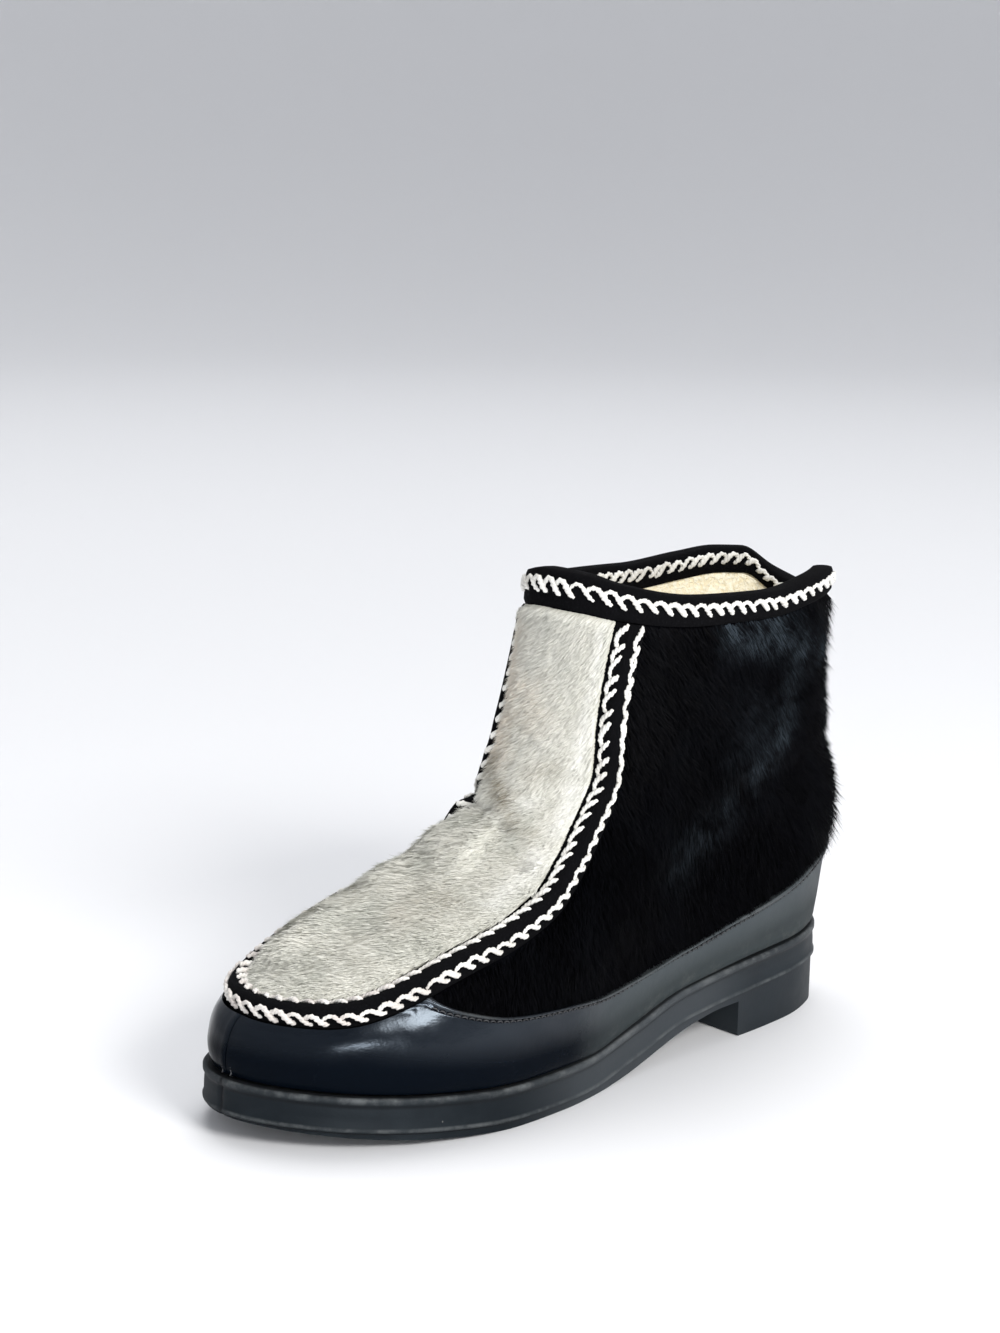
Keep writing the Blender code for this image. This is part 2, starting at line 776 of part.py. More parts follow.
def make_outsole(group, cutters):
    """The moulded sole: bead, side band, step, arch, heel and toe spring."""
    shares = sole_stations()
    loop = [(share, 1) for share in shares]
    loop += [(share, -1) for share in reversed(shares[1:-1])]
    plan = []
    for share, side in loop:
        x = SOLE_LENGTH * share
        plan.append(np.array((x, side * outline_half(share, side) + toe_shift(share))))
    count = len(plan)
    out = []
    for k in range(count):
        along = plan[(k + 1) % count] - plan[k - 1]
        out.append(unit(np.array((along[1], -along[0]))) * -1)
    middle = np.array((SOLE_LENGTH / 2, 0.0))
    if np.dot(out[count // 4], plan[count // 4] - middle) < 0:
        out = [-direction for direction in out]

    # Rows of the side, as a distance in from the outline and a drop below
    # the top edge. The last row is below the ground and is cut away.
    rows = (
        (SOLE_STEP, 0.0),
        (0.0, SOLE_STEP),
        (0.0, SOLE_BEAD),
        (SOLE_STEP * 0.8, SOLE_BEAD + SOLE_STEP * 0.6),
        (SOLE_STEP * 0.4, SIDE_BAND - SOLE_STEP * 0.5),
        (-SOLE_STEP * 0.2, SIDE_BAND),
        (-SOLE_STEP * 0.2, SIDE_BAND + SOLE_STEP),
        (SOLE_STEP * 0.9, SIDE_BAND + SOLE_STEP * 1.6),
        (SOLE_STEP * 0.9, None),
    )
    floor = -0.003
    vertices = []
    for inset, drop in rows:
        for point, direction in zip(plan, out):
            x, y = point - direction * inset
            z = floor if drop is None else sole_top(x) - SEAT - drop
            vertices.append((x, y, z))
    faces = []
    for r in range(len(rows) - 1):
        for k in range(count):
            n = (k + 1) % count
            a, b = r * count + k, r * count + n
            c, d = a + count, b + count
            faces.append((a, b, d))
            faces.append((a, d, c))
    half = len(shares) - 1
    for base in (0, (len(rows) - 1) * count):
        for k in range(half):
            a, b = k, k + 1
            c, d = (count - k - 1) % count, (count - k) % count
            if k == 0:
                faces.append((base + a, base + b, base + c))
            elif k == half - 1:
                faces.append((base + a, base + b, base + d))
            else:
                faces.append((base + a, base + b, base + c, base + d))
    sole = new_object("outsole", vertices, faces, group)

    under = new_object("sole_under_cutter", *under_cutter(), cutters)
    under.hide_render = True
    under.display_type = "WIRE"
    cut = sole.modifiers.new("Underside", "BOOLEAN")
    cut.operation = "DIFFERENCE"
    cut.solver = "EXACT"
    cut.object = under
    return sole


def under_cutter():
    """The space under the sole, from the ground to its underside."""
    width = BALL_WIDTH
    deep = -0.02
    profile = [(-0.02, deep), (-0.02, 0.0), (HEEL_BLOCK, 0.0)]
    for share, arch, spring in SOLE_UNDER:
        height = ARCH_RISE * arch + TOE_SPRING * spring
        profile.append((HEEL_BLOCK + (share - SOLE_UNDER[0][0]) * stretch(), height))
    slope = TOE_SPRING * 0.6
    profile.append((SOLE_LENGTH * 1.06, TOE_SPRING + slope))
    profile.append((SOLE_LENGTH * 1.06, deep))
    count = len(profile)
    vertices = [(x, -width, z) for x, z in profile] + [(x, width, z) for x, z in profile]
    faces = [tuple(range(count)), tuple(range(count, 2 * count))]
    for k in range(count):
        n = (k + 1) % count
        faces.append((k, n, n + count, k + count))
    return vertices, faces


def stretch():
    """Length per share between the heel's front face and the toe."""
    return (SOLE_LENGTH - HEEL_BLOCK) / (1 - SOLE_UNDER[0][0])


def collections():
    """The collections of the parts and of the cutters."""
    made = []
    for name in ("mukluk_boot", "cutters"):
        group = bpy.data.collections.new(name)
        bpy.context.scene.collection.children.link(group)
        made.append(group)
    return made


def main():
    for item in list(bpy.data.objects):
        bpy.data.objects.remove(item, do_unlink=True)
    group, cutters = collections()
    grid = Grid()
    half = grid.half
    tape_row = BAND_ROWS
    inner_row = BAND_ROWS + TAPE_CELLS
    collar_row = grid.rows - 2
    trim = GAP / 2

    make_outsole(group, cutters)
    make_upper(grid, group)
    make_insole(grid, group)
    make_collar_tape(grid, group)

    def folded(i):
        return min(i, 2 * half - 1 - i)

    band_outer = []
    band_inner = []
    tape = []
    front = []
    for i in range(grid.columns):
        near = folded(i)
        for j in range(collar_row):
            on_side = near < SIDE_CELLS
            on_tape = SIDE_CELLS <= near < SIDE_CELLS + TAPE_CELLS
            if (on_side and j < inner_row) or (not on_side and j < tape_row):
                (band_outer if i < half else band_inner).append((i, j))
            elif on_side:
                continue
            elif on_tape or j < inner_row:
                tape.append((i, j))
            else:
                front.append((i, j))

    def cover(i, j):
        return GAP + COVER

    tape_rise = tape_height(grid, tape_row, inner_row)
    new_object("leather_band_outer", *piece_on(grid, band_outer, cover, trim), group)
    new_object("leather_band_inner", *piece_on(grid, band_inner, cover, trim), group)
    new_object("front_panel", *piece_on(grid, front, cover, trim), group)
    new_object("seam_tape", *piece_on(grid, tape, tape_rise, trim), group)


main()
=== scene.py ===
"""The looks of a left mukluk boot: fur, a pale front, yarn braids, leather and rubber.

Everything is in metres in the boot's own frame, +X toward the toe, +Y toward
the outer side, +Z up, with the origin under the middle of the heel. The fine
surfaces come from one skin, skin(turn, rise): turn goes round the boot from
the heel (0) over the outer side to the toe (1) and back (2), and rise goes up
from the sole (0) to the collar (1).
"""

import math

import bmesh
import bpy
import numpy as np
from mathutils import Matrix, Vector


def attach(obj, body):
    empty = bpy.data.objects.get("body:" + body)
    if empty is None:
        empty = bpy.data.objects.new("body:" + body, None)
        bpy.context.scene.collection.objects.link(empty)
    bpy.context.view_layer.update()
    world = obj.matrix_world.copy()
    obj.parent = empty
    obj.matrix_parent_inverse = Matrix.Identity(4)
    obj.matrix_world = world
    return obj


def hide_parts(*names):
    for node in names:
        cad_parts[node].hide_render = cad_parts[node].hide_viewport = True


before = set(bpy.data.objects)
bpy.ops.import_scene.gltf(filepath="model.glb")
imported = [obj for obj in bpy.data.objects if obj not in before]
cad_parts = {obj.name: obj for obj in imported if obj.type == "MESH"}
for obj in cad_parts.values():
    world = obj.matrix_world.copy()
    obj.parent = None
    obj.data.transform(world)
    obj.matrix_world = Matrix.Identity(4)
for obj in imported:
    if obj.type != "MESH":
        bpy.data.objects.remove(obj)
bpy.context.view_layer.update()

# Sizes of the boot, in metres, as in the solid model.
SOLE_LENGTH = 0.275
BALL_WIDTH = 0.092
HEEL_WIDTH = 0.066
SHAFT_WIDTH = 0.0705
SHAFT_DEPTH = 0.139
INSTEP_HEIGHT = 0.083
SHAFT_HEIGHT = 0.173
BACK_HEIGHT = 0.167
RIM_WAVE = 0.006
TOE_TURN = 0.012
HEEL_STACK = 0.0315
FORE_STACK = 0.0158
TOE_SPRING = 0.008
SIDE_BAND = 0.0112
SOLE_BEAD = 0.0028
SOLE_STEP = 0.0009
HEEL_BLOCK = 0.068
ARCH_RISE = 0.0136
WALL = 0.004
COVER = 0.0017
GAP = 0.00045
SEAT = 0.0010
TAPE_WIDTH = 0.0120
TAPE_FOLD = 0.0036
TAPE_RISE = 0.0046
TAPE_EDGE = 0.0012
COLLAR_TAPE = 0.0086
COLLAR_THICK = 0.0016
REST = SOLE_LENGTH * 0.125

# Sizes of the fine work, in metres: the yarn, the seam tape's profile, the hair,
# the leather's folded edge and swells, its stitches, and the tread.
PLY = 0.00057
PLY_TURN = 0.0036
BRAID_PITCH = 0.0057
BRAID_SWING = 0.00150
TAPE_MARGIN = 0.0015
TAPE_FOOT = TAPE_WIDTH * 0.5 - TAPE_MARGIN
TAPE_TOP = TAPE_FOLD * 0.42
TAPE_LIP = TAPE_EDGE * 0.8
TAPE_CROWN = 0.0004
TAPE_DROP = 0.0020
COLLAR_YARN = 0.0028
TUCK = 0.0012
PALE_HAIR = 0.0056
DARK_HAIR = 0.0070
BAND_BEAD = 0.0032
BEAD_HIGH = 0.0009
GROOVE_DEEP = 0.0003
LAP_HIGH = 0.0004
TOE_SWELL = 0.0011
SOLE_TUCK = 0.0006
STITCH_DROP = BAND_BEAD * 1.25
STITCH_LONG = 0.0021
STITCH_THICK = 0.00030
STITCH_STEP = 0.0027
TREAD_STEP = 0.0075
TREAD_DEPTH = 0.0012
TREAD_MARGIN = 0.007

# The coats of hair. Columns: how many hairs, their length and width, how far
# they lift off the hide, how far they stray, and the seed of their scatter.
PALE_COATS = (
    (60000, PALE_HAIR, 0.00040, 0.42, 0.22, 11),
    (58000, PALE_HAIR * 0.8, 0.00040, 0.62, 0.30, 12),
)
DARK_COATS = {
    "outer": (58000, DARK_HAIR, 0.00042, 0.46, 0.24, 31),
    "inner": (58000, DARK_HAIR, 0.00042, 0.46, 0.24, 32),
}
CLUMPS_PER_METRE = 300.0
CLUMPING = 0.80

# Cells of the fine grid on one side: round the boot from the heel to the seam
# tape, across the tape and on to the front line, then up the leather band, the
# shaft and the collar.
SIDE_CELLS = 60
TAPE_CELLS = 16
FRONT_CELLS = 22
BAND_ROWS = 16
SHAFT_ROWS = 66
COLLAR_ROWS = 6

# Columns: share of the length, outer and inner half as shares of the heel
# width, then of the ball width.
OUTLINE = np.array((
    (0.00, 0.000, 0.000, 0.000, 0.000),
    (0.02, 0.212, 0.212, 0.000, 0.000),
    (0.06, 0.356, 0.356, 0.000, 0.000),
    (0.14, 0.470, 0.462, 0.000, 0.000),
    (0.25, 0.515, 0.485, 0.000, 0.000),
    (0.38, 0.270, 0.220, 0.192, 0.163),
    (0.50, 0.000, 0.000, 0.429, 0.321),
    (0.62, 0.000, 0.000, 0.500, 0.402),
    (0.72, 0.000, 0.000, 0.527, 0.478),
    (0.82, 0.000, 0.000, 0.489, 0.473),
    (0.90, 0.000, 0.000, 0.397, 0.397),
    (0.96, 0.000, 0.000, 0.255, 0.266),
    (0.99, 0.000, 0.000, 0.125, 0.136),
    (1.00, 0.000, 0.000, 0.000, 0.000),
))

# Columns: share of the length, shares of heel stack, fore stack, toe spring.
SOLE_TOP = np.array((
    (0.00, 1.000, 0.000, 0.000),
    (0.12, 0.984, 0.000, 0.000),
    (0.24, 0.946, 0.000, 0.000),
    (0.36, 0.600, 0.480, 0.000),
    (0.46, 0.250, 0.768, 0.000),
    (0.56, 0.000, 1.000, 0.000),
    (0.70, 0.000, 1.013, 0.000),
    (0.85, 0.000, 1.000, 0.340),
    (1.00, 0.000, 1.000, 0.780),
))

# Columns: share of the length, shares of the arch rise and toe spring.
SOLE_UNDER = np.array((
    (0.262, 1.00, 0.00),
    (0.300, 0.98, 0.00),
    (0.340, 0.87, 0.00),
    (0.380, 0.69, 0.00),
    (0.420, 0.46, 0.00),
    (0.460, 0.25, 0.00),
    (0.500, 0.09, 0.00),
    (0.545, 0.00, 0.00),
    (0.700, 0.00, 0.00),
    (0.760, 0.00, 0.08),
    (0.820, 0.00, 0.24),
    (0.880, 0.00, 0.46),
    (0.940, 0.00, 0.72),
    (1.000, 0.00, 1.00),
))

# Columns: rise, back line, back height, front line (two shares), front height
# (two shares), share of shaft, outer half, inner half, share of the outline.
SECTIONS = np.array((
    (0.0, 0.0055, 0.000, 0.9910, 0.000, 0.265, 0.000, 0.00, 0.511, 0.468, 0.985),
    (0.1, -0.0018, 0.078, 0.9870, 0.000, 0.367, 0.000, 0.00, 0.511, 0.468, 1.000),
    (0.2, -0.0109, 0.166, 0.9710, 0.000, 0.494, 0.000, 0.00, 0.511, 0.468, 0.990),
    (0.3, -0.0218, 0.255, 0.9145, 0.000, 0.614, 0.000, 0.06, 0.518, 0.475, 0.960),
    (0.4, -0.0291, 0.343, 0.8000, 0.083, 0.723, 0.000, 0.18, 0.518, 0.475, 0.910),
    (0.5, -0.0236, 0.432, 0.6000, 0.302, 0.849, 0.000, 0.38, 0.504, 0.468, 0.860),
    (0.6, -0.0055, 0.528, 0.4364, 0.432, 1.000, 0.000, 0.62, 0.489, 0.454, 0.830),
    (0.7, 0.0073, 0.631, 0.2000, 0.748, 1.000, 0.189, 0.84, 0.482, 0.454, 0.820),
    (0.8, 0.0145, 0.742, 0.0000, 1.072, 1.000, 0.444, 0.95, 0.489, 0.461, 0.800),
    (0.9, 0.0164, 0.867, 0.0000, 1.025, 1.000, 0.722, 1.00, 0.496, 0.475, 0.800),
    (1.0, 0.0164, 1.000, 0.0000, 1.000, 1.000, 1.000, 1.00, 0.511, 0.489, 0.800),
))

# Columns: turn, share of the collar's wave.
RIM = np.array((
    (0.00, -1.25),
    (0.08, -0.35),
    (0.20, 0.28),
    (0.30, 0.05),
    (0.45, -0.55),
    (0.62, -0.47),
    (0.80, 0.20),
    (0.92, 0.74),
    (1.00, 0.80),
    (1.15, 0.27),
    (1.36, -0.33),
    (1.50, -0.33),
    (1.65, 0.17),
    (1.74, 0.50),
    (1.82, 0.50),
    (1.92, -0.62),
    (2.00, -1.25),
))

# Columns: turn from the heel on the outer side and on the inner side, rise,
# from the toe's middle to the collar.
SEAM = np.array((
    (1.000, 1.000, 0.240),
    (0.930, 0.930, 0.239),
    (0.860, 0.860, 0.243),
    (0.826, 0.826, 0.263),
    (0.799, 0.799, 0.308),
    (0.768, 0.768, 0.372),
    (0.736, 0.742, 0.432),
    (0.722, 0.742, 0.500),
    (0.742, 0.778, 0.580),
    (0.762, 0.832, 0.660),
    (0.768, 0.860, 0.740),
    (0.786, 0.866, 0.820),
    (0.789, 0.859, 0.900),
    (0.776, 0.846, 1.000),
))
# Share of the seam's length at its corner, and fine points from knot to knot.
SEAM_CORNER = 0.21
SEAM_FINE = 40

# Columns: turn from the heel, rise of the leather band's top edge.
BAND_TOP = np.array((
    (0.00, 0.285),
    (0.12, 0.276),
    (0.20, 0.246),
    (0.26, 0.206),
    (0.34, 0.168),
    (0.42, 0.141),
    (0.50, 0.141),
    (0.58, 0.163),
    (0.66, 0.187),
    (0.70, 0.212),
    (0.75, 0.251),
    (0.80, 0.310),
))

# Soft folds of the worn boot, each along a line from one spot of the skin to
# another. Columns: turn and rise of its start, turn and rise of its end, its
# half width and its depth in metres, negative where it stands out.
FOLDS = (
    (1.20, 0.672, 0.985, 0.684, 0.0036, 0.0040),
    (1.00, 0.682, 0.800, 0.588, 0.0040, 0.0024),
    (0.90, 0.742, 1.16, 0.745, 0.0065, -0.0012),
    (0.93, 0.612, 1.15, 0.616, 0.0095, -0.0042),
    (1.08, 0.300, 1.12, 0.580, 0.0110, -0.0036),
    (1.262, 0.380, 1.185, 0.640, 0.0070, 0.0022),
    (0.80, 0.705, 0.93, 0.722, 0.0045, 0.0010),
    (0.76, 0.505, 0.96, 0.545, 0.0060, 0.0006),
    (0.08, 0.640, 0.62, 0.560, 0.0065, 0.0016),
    (0.05, 0.700, 0.55, 0.700, 0.0070, -0.0010),
    (0.20, 0.480, 0.64, 0.430, 0.0060, 0.0011),
    (0.52, 0.640, 0.70, 0.470, 0.0045, 0.0012),
    (0.18, 0.860, 0.40, 0.800, 0.0070, 0.0007),
    (1.38, 0.600, 1.94, 0.650, 0.0065, 0.0015),
    (1.35, 0.470, 1.80, 0.500, 0.0060, 0.0010),
    (0.60, 0.060, 0.66, 0.180, 0.0022, 0.0005),
    (0.55, 0.050, 0.60, 0.155, 0.0022, 0.0005),
    (1.36, 0.060, 1.42, 0.175, 0.0022, 0.0005),
)

# Where the fur is marked, placed as the folds are: a pale painted highlight along
# the outer seam, beige up the inner front, brown stain with painted shade in the
# crease, long beside the inner tape, and a painted cool sheen on the black sides.
# Columns: turn and rise of the start and of the end, half width, and strength,
# which is the share of the mark's colour, or for LONG_FUR the length added to
# the hair as a share of it.
LIT_FUR = (
    (0.842, 0.970, 0.844, 0.830, 0.0012, 0.35),
    (0.844, 0.850, 0.832, 0.740, 0.0022, 0.35),
    (0.832, 0.750, 0.812, 0.630, 0.0036, 0.42),
    (0.812, 0.640, 0.805, 0.480, 0.0046, 0.40),
    (0.945, 0.700, 0.885, 0.712, 0.0026, 0.25),
)
BEIGE_FUR = (
    (1.120, 0.960, 1.080, 0.810, 0.0080, 0.80),
    (1.085, 0.830, 1.050, 0.730, 0.0075, 0.90),
    (1.020, 0.880, 0.960, 0.790, 0.0080, 0.35),
    (0.900, 0.550, 0.960, 0.470, 0.0080, 0.20),
)
# Brown stain in the instep crease, with painted crease shade.
CREASE_STAIN_AND_SHADE_FUR = (
    (1.090, 0.752, 1.030, 0.738, 0.0048, 1.00),
    (1.035, 0.738, 0.965, 0.690, 0.0040, 1.00),
    (0.968, 0.690, 0.900, 0.660, 0.0026, 0.65),
    (0.900, 0.660, 0.845, 0.648, 0.0024, 0.45),
    (0.975, 0.742, 0.860, 0.762, 0.0034, 0.45),
)
LONG_FUR = (
    (1.150, 0.330, 1.215, 0.430, 0.0060, 0.60),
    (1.215, 0.450, 1.190, 0.600, 0.0065, 0.65),
    (1.185, 0.640, 1.150, 0.685, 0.0060, 0.90),
)
# A painted sheen: a cool highlight laid into the black fur's colour.
PAINTED_SHEEN_FUR = (
    (0.590, 0.955, 0.380, 0.935, 0.0060, 0.95),
    (0.420, 0.920, 0.230, 0.870, 0.0075, 0.70),
    (0.372, 0.880, 0.362, 0.700, 0.0060, 0.40),
    (0.358, 0.740, 0.430, 0.620, 0.0060, 0.50),
    (0.430, 0.630, 0.520, 0.430, 0.0070, 0.35),
    (0.440, 0.860, 0.470, 0.640, 0.0150, 0.16),
    (0.100, 0.880, 0.080, 0.600, 0.0080, 0.35),
    (1.900, 0.880, 1.800, 0.500, 0.0080, 0.40),
    (1.650, 0.950, 1.400, 0.920, 0.0070, 0.60),
    (1.560, 0.780, 1.460, 0.470, 0.0070, 0.40),
)


def tangents_even(xs, ys):
    """Slopes of a flowing cubic through a table."""
    return np.gradient(ys, xs, axis=0)


def tangents_tame(xs, ys):
    """Slopes of a cubic that never swings past a table's points."""
    step = np.diff(xs)
    slope = np.diff(ys) / step
    made = np.zeros(len(xs))
    made[0] = slope[0]
    made[-1] = slope[-1]
    for k in range(1, len(xs) - 1):
        if slope[k - 1] * slope[k] > 0:
            first = 2 * step[k] + step[k - 1]
            second = step[k] + 2 * step[k - 1]
            made[k] = (first + second) / (first / slope[k - 1] + second / slope[k])
    return made


def cubic(x, xs, ys, tangent):
    """The cubic with these values and slopes at xs, for many x at once."""
    x = np.clip(x, xs[0], xs[-1])
    k = np.clip(np.searchsorted(xs, x) - 1, 0, len(xs) - 2)
    step = xs[k + 1] - xs[k]
    s = (x - xs[k]) / step
    value = (2 * s**3 - 3 * s**2 + 1) * ys[k] + (s**3 - 2 * s**2 + s) * step * tangent[k]
    return value + (3 * s**2 - 2 * s**3) * ys[k + 1] + (s**3 - s**2) * step * tangent[k + 1]


OUTER_SQUARE = (HEEL_WIDTH * OUTLINE[:, 1] + BALL_WIDTH * OUTLINE[:, 3]) ** 2
INNER_SQUARE = (HEEL_WIDTH * OUTLINE[:, 2] + BALL_WIDTH * OUTLINE[:, 4]) ** 2
TOP_HEIGHTS = SOLE_TOP[:, 1:] @ np.array((HEEL_STACK, FORE_STACK, TOE_SPRING))
SECTION_SIZES = np.stack((
    SOLE_LENGTH * SECTIONS[:, 1],
    HEEL_STACK + (BACK_HEIGHT - HEEL_STACK) * SECTIONS[:, 2],
    SOLE_LENGTH * SECTIONS[:, 3] + SHAFT_DEPTH * SECTIONS[:, 4],
    INSTEP_HEIGHT * SECTIONS[:, 5] + (SHAFT_HEIGHT - INSTEP_HEIGHT) * SECTIONS[:, 6],
    SECTIONS[:, 7],
    SHAFT_WIDTH * SECTIONS[:, 8],
    SHAFT_WIDTH * SECTIONS[:, 9],
    SECTIONS[:, 10],
), axis=1)


def outline_half(share, side):
    """Half width of the sole's top edge at shares of its length."""
    xs = OUTLINE[:, 0]
    outer = cubic(share, xs, OUTER_SQUARE, tangents_tame(xs, OUTER_SQUARE))
    inner = cubic(share, xs, INNER_SQUARE, tangents_tame(xs, INNER_SQUARE))
    return np.sqrt(np.maximum(np.where(side > 0, outer, inner), 0.0))


def toe_shift(share):
    """How far the sole's middle line turns in."""
    return -TOE_TURN * np.maximum((share - 0.55) / 0.45, 0.0) ** 1.6


def sole_top(x):
    """Height of the sole's top edge."""
    xs = SOLE_TOP[:, 0]
    return cubic(x / SOLE_LENGTH, xs, TOP_HEIGHTS, tangents_tame(xs, TOP_HEIGHTS))


def skin(turn, rise):
    """Points of the boot's skin, measured from the sole's back."""
    turn, rise = np.broadcast_arrays(np.asarray(turn, float) % 2.0, np.asarray(rise, float))
    xs = SECTIONS[:, 0]
    sizes = []
    for k in range(8):
        ys = SECTION_SIZES[:, k]
        sizes.append(cubic(rise, xs, ys, tangents_even(xs, ys)))
    back_x, back_z, front_x, front_z, shaft, outer, inner, outline = sizes
    side = np.where(turn <= 1.0, 1, -1)
    share = 0.5 - 0.5 * np.cos(np.pi * turn)
    foot = outline_half(share, side) * outline
    oval = np.maximum(1 - np.abs(2 * share - 1) ** 2.7, 0.0) ** 0.4
    leg = np.where(side > 0, outer, inner) * oval
    x = back_x + (front_x - back_x) * share
    z = back_z + (front_z - back_z) * share
    low = HEEL_STACK + (INSTEP_HEIGHT * SECTIONS[0, 5] - HEEL_STACK) * share
    z = z + (sole_top(x) - low) * np.maximum(1 - rise / 0.35, 0.0) ** 1.5
    y = side * ((1 - shaft) * foot + shaft * leg)
    y = y + toe_shift(np.clip(x / SOLE_LENGTH, 0.0, 1.0))
    wave = RIM_WAVE * cubic(turn, RIM[:, 0], RIM[:, 1], tangents_tame(RIM[:, 0], RIM[:, 1]))
    z = z + wave * np.maximum((rise - 0.6) / 0.4, 0.0) ** 2
    return np.stack((x, y, z), axis=-1)


def unit(vectors):
    """The same directions at length one."""
    size = np.linalg.norm(vectors, axis=-1, keepdims=True)
    return vectors / np.maximum(size, 1e-12)


def slopes(turn, rise):
    """How the skin moves with turn and with rise."""
    step = 0.004
    low = np.maximum(rise - step, 0.0)
    high = np.minimum(rise + step, 1.0)
    along = (skin(turn + step, rise) - skin(turn - step, rise)) / (2 * step)
    up = (skin(turn, high) - skin(turn, low)) / (high - low)[..., None]
    return along, up


def outward(turn, rise):
    """The skin's outward direction, level at the sole and the collar."""
    along, up = slopes(turn, rise)
    normal = unit(np.cross(up, along))
    flat = normal.copy()
    flat[..., 2] = 0.0
    flat = unit(flat)
    lean = np.maximum(np.sum(flat * normal, axis=-1, keepdims=True), 0.5)
    edge = ((rise < 0.001) | (rise > 0.999))[..., None]
    return np.where(edge, flat / lean, normal)


class SeamPath:
    """The seam's curve on one side, measured along its length."""

    def __init__(self, side):
        self.side = side
        knots = np.arange(len(SEAM), dtype=float)
        fine = np.linspace(0, len(SEAM) - 1, SEAM_FINE * (len(SEAM) - 1) + 1)
        turns = SEAM[:, 0 if side > 0 else 1]
        turn = cubic(fine, knots, turns, tangents_even(knots, turns))
        rise = cubic(fine, knots, SEAM[:, 2], tangents_even(knots, SEAM[:, 2]))
        rise = np.minimum(rise, 1.0)
        self.turn = turn if side > 0 else 2.0 - turn
        self.rise = rise
        points = skin(self.turn, self.rise)
        steps = np.linalg.norm(np.diff(points, axis=0), axis=1)
        self.lengths = np.concatenate(((0.0,), np.cumsum(steps)))
        self.total = self.lengths[-1]

    def at(self, length):
        """Turn and rise at distances from the middle of the toe."""
        turn = np.interp(length, self.lengths, self.turn)
        return turn, np.interp(length, self.lengths, self.rise)

    def length_at(self, rise):
        """Distance along the seam, past the level toe, at which it reaches a rise."""
        toe = 3 * SEAM_FINE
        return float(np.interp(rise, self.rise[toe:], self.lengths[toe:]))

    def beside(self, length, offset):
        """Turn and rise at offsets from the seam, positive on the front piece."""
        length = np.asarray(length, float)
        length, offset = np.broadcast_arrays(length, np.asarray(offset, float))
        turn, rise = self.at(length)
        ahead = skin(*self.at(np.minimum(length + 0.002, self.total)))
        behind = skin(*self.at(np.maximum(length - 0.002, 0.0)))
        across = unit(np.cross(outward(turn, rise), unit(ahead - behind))) * self.side
        start = skin(turn, rise)
        for _ in range(3):
            along, up = slopes(turn, np.minimum(rise, 0.995))
            wanted = start + across * offset[..., None] - skin(turn, rise)
            aa = np.sum(along * along, axis=-1)
            au = np.sum(along * up, axis=-1)
            uu = np.sum(up * up, axis=-1)
            wa = np.sum(along * wanted, axis=-1)
            wu = np.sum(up * wanted, axis=-1)
            det = aa * uu - au * au
            turn = turn + (wa * uu - wu * au) / det
            rise = np.clip(rise + (wu * aa - wa * au) / det, 0.0, 1.0)
        return turn, rise


def band_top(turn, edge_turn, edge_rise, side):
    """Rise of the leather band's top edge, met exactly at the tape."""
    here = turn if side > 0 else 2.0 - turn
    edge = edge_turn if side > 0 else 2.0 - edge_turn
    slope = tangents_tame(BAND_TOP[:, 0], BAND_TOP[:, 1])
    table = cubic(here, BAND_TOP[:, 0], BAND_TOP[:, 1], slope)
    at_edge = cubic(np.array(edge), BAND_TOP[:, 0], BAND_TOP[:, 1], slope)
    fade = np.maximum(1 - (edge - here) / 0.22, 0.0)
    return table + (edge_rise - at_edge) * fade * fade


PATHS = {1: SeamPath(1), -1: SeamPath(-1)}
COLLAR_RISE = 1.0 - 0.1 * COLLAR_TAPE / float(skin(0.5, 1.0)[2] - skin(0.5, 0.9)[2])
FIRST = SIDE_CELLS
LAST = SIDE_CELLS + TAPE_CELLS
HALF = LAST + FRONT_CELLS
COLUMNS = 2 * HALF
TAPE_ROW = BAND_ROWS
INNER_ROW = BAND_ROWS + TAPE_CELLS
COLLAR_ROW = INNER_ROW + SHAFT_ROWS
ROWS = COLLAR_ROW + COLLAR_ROWS + 1


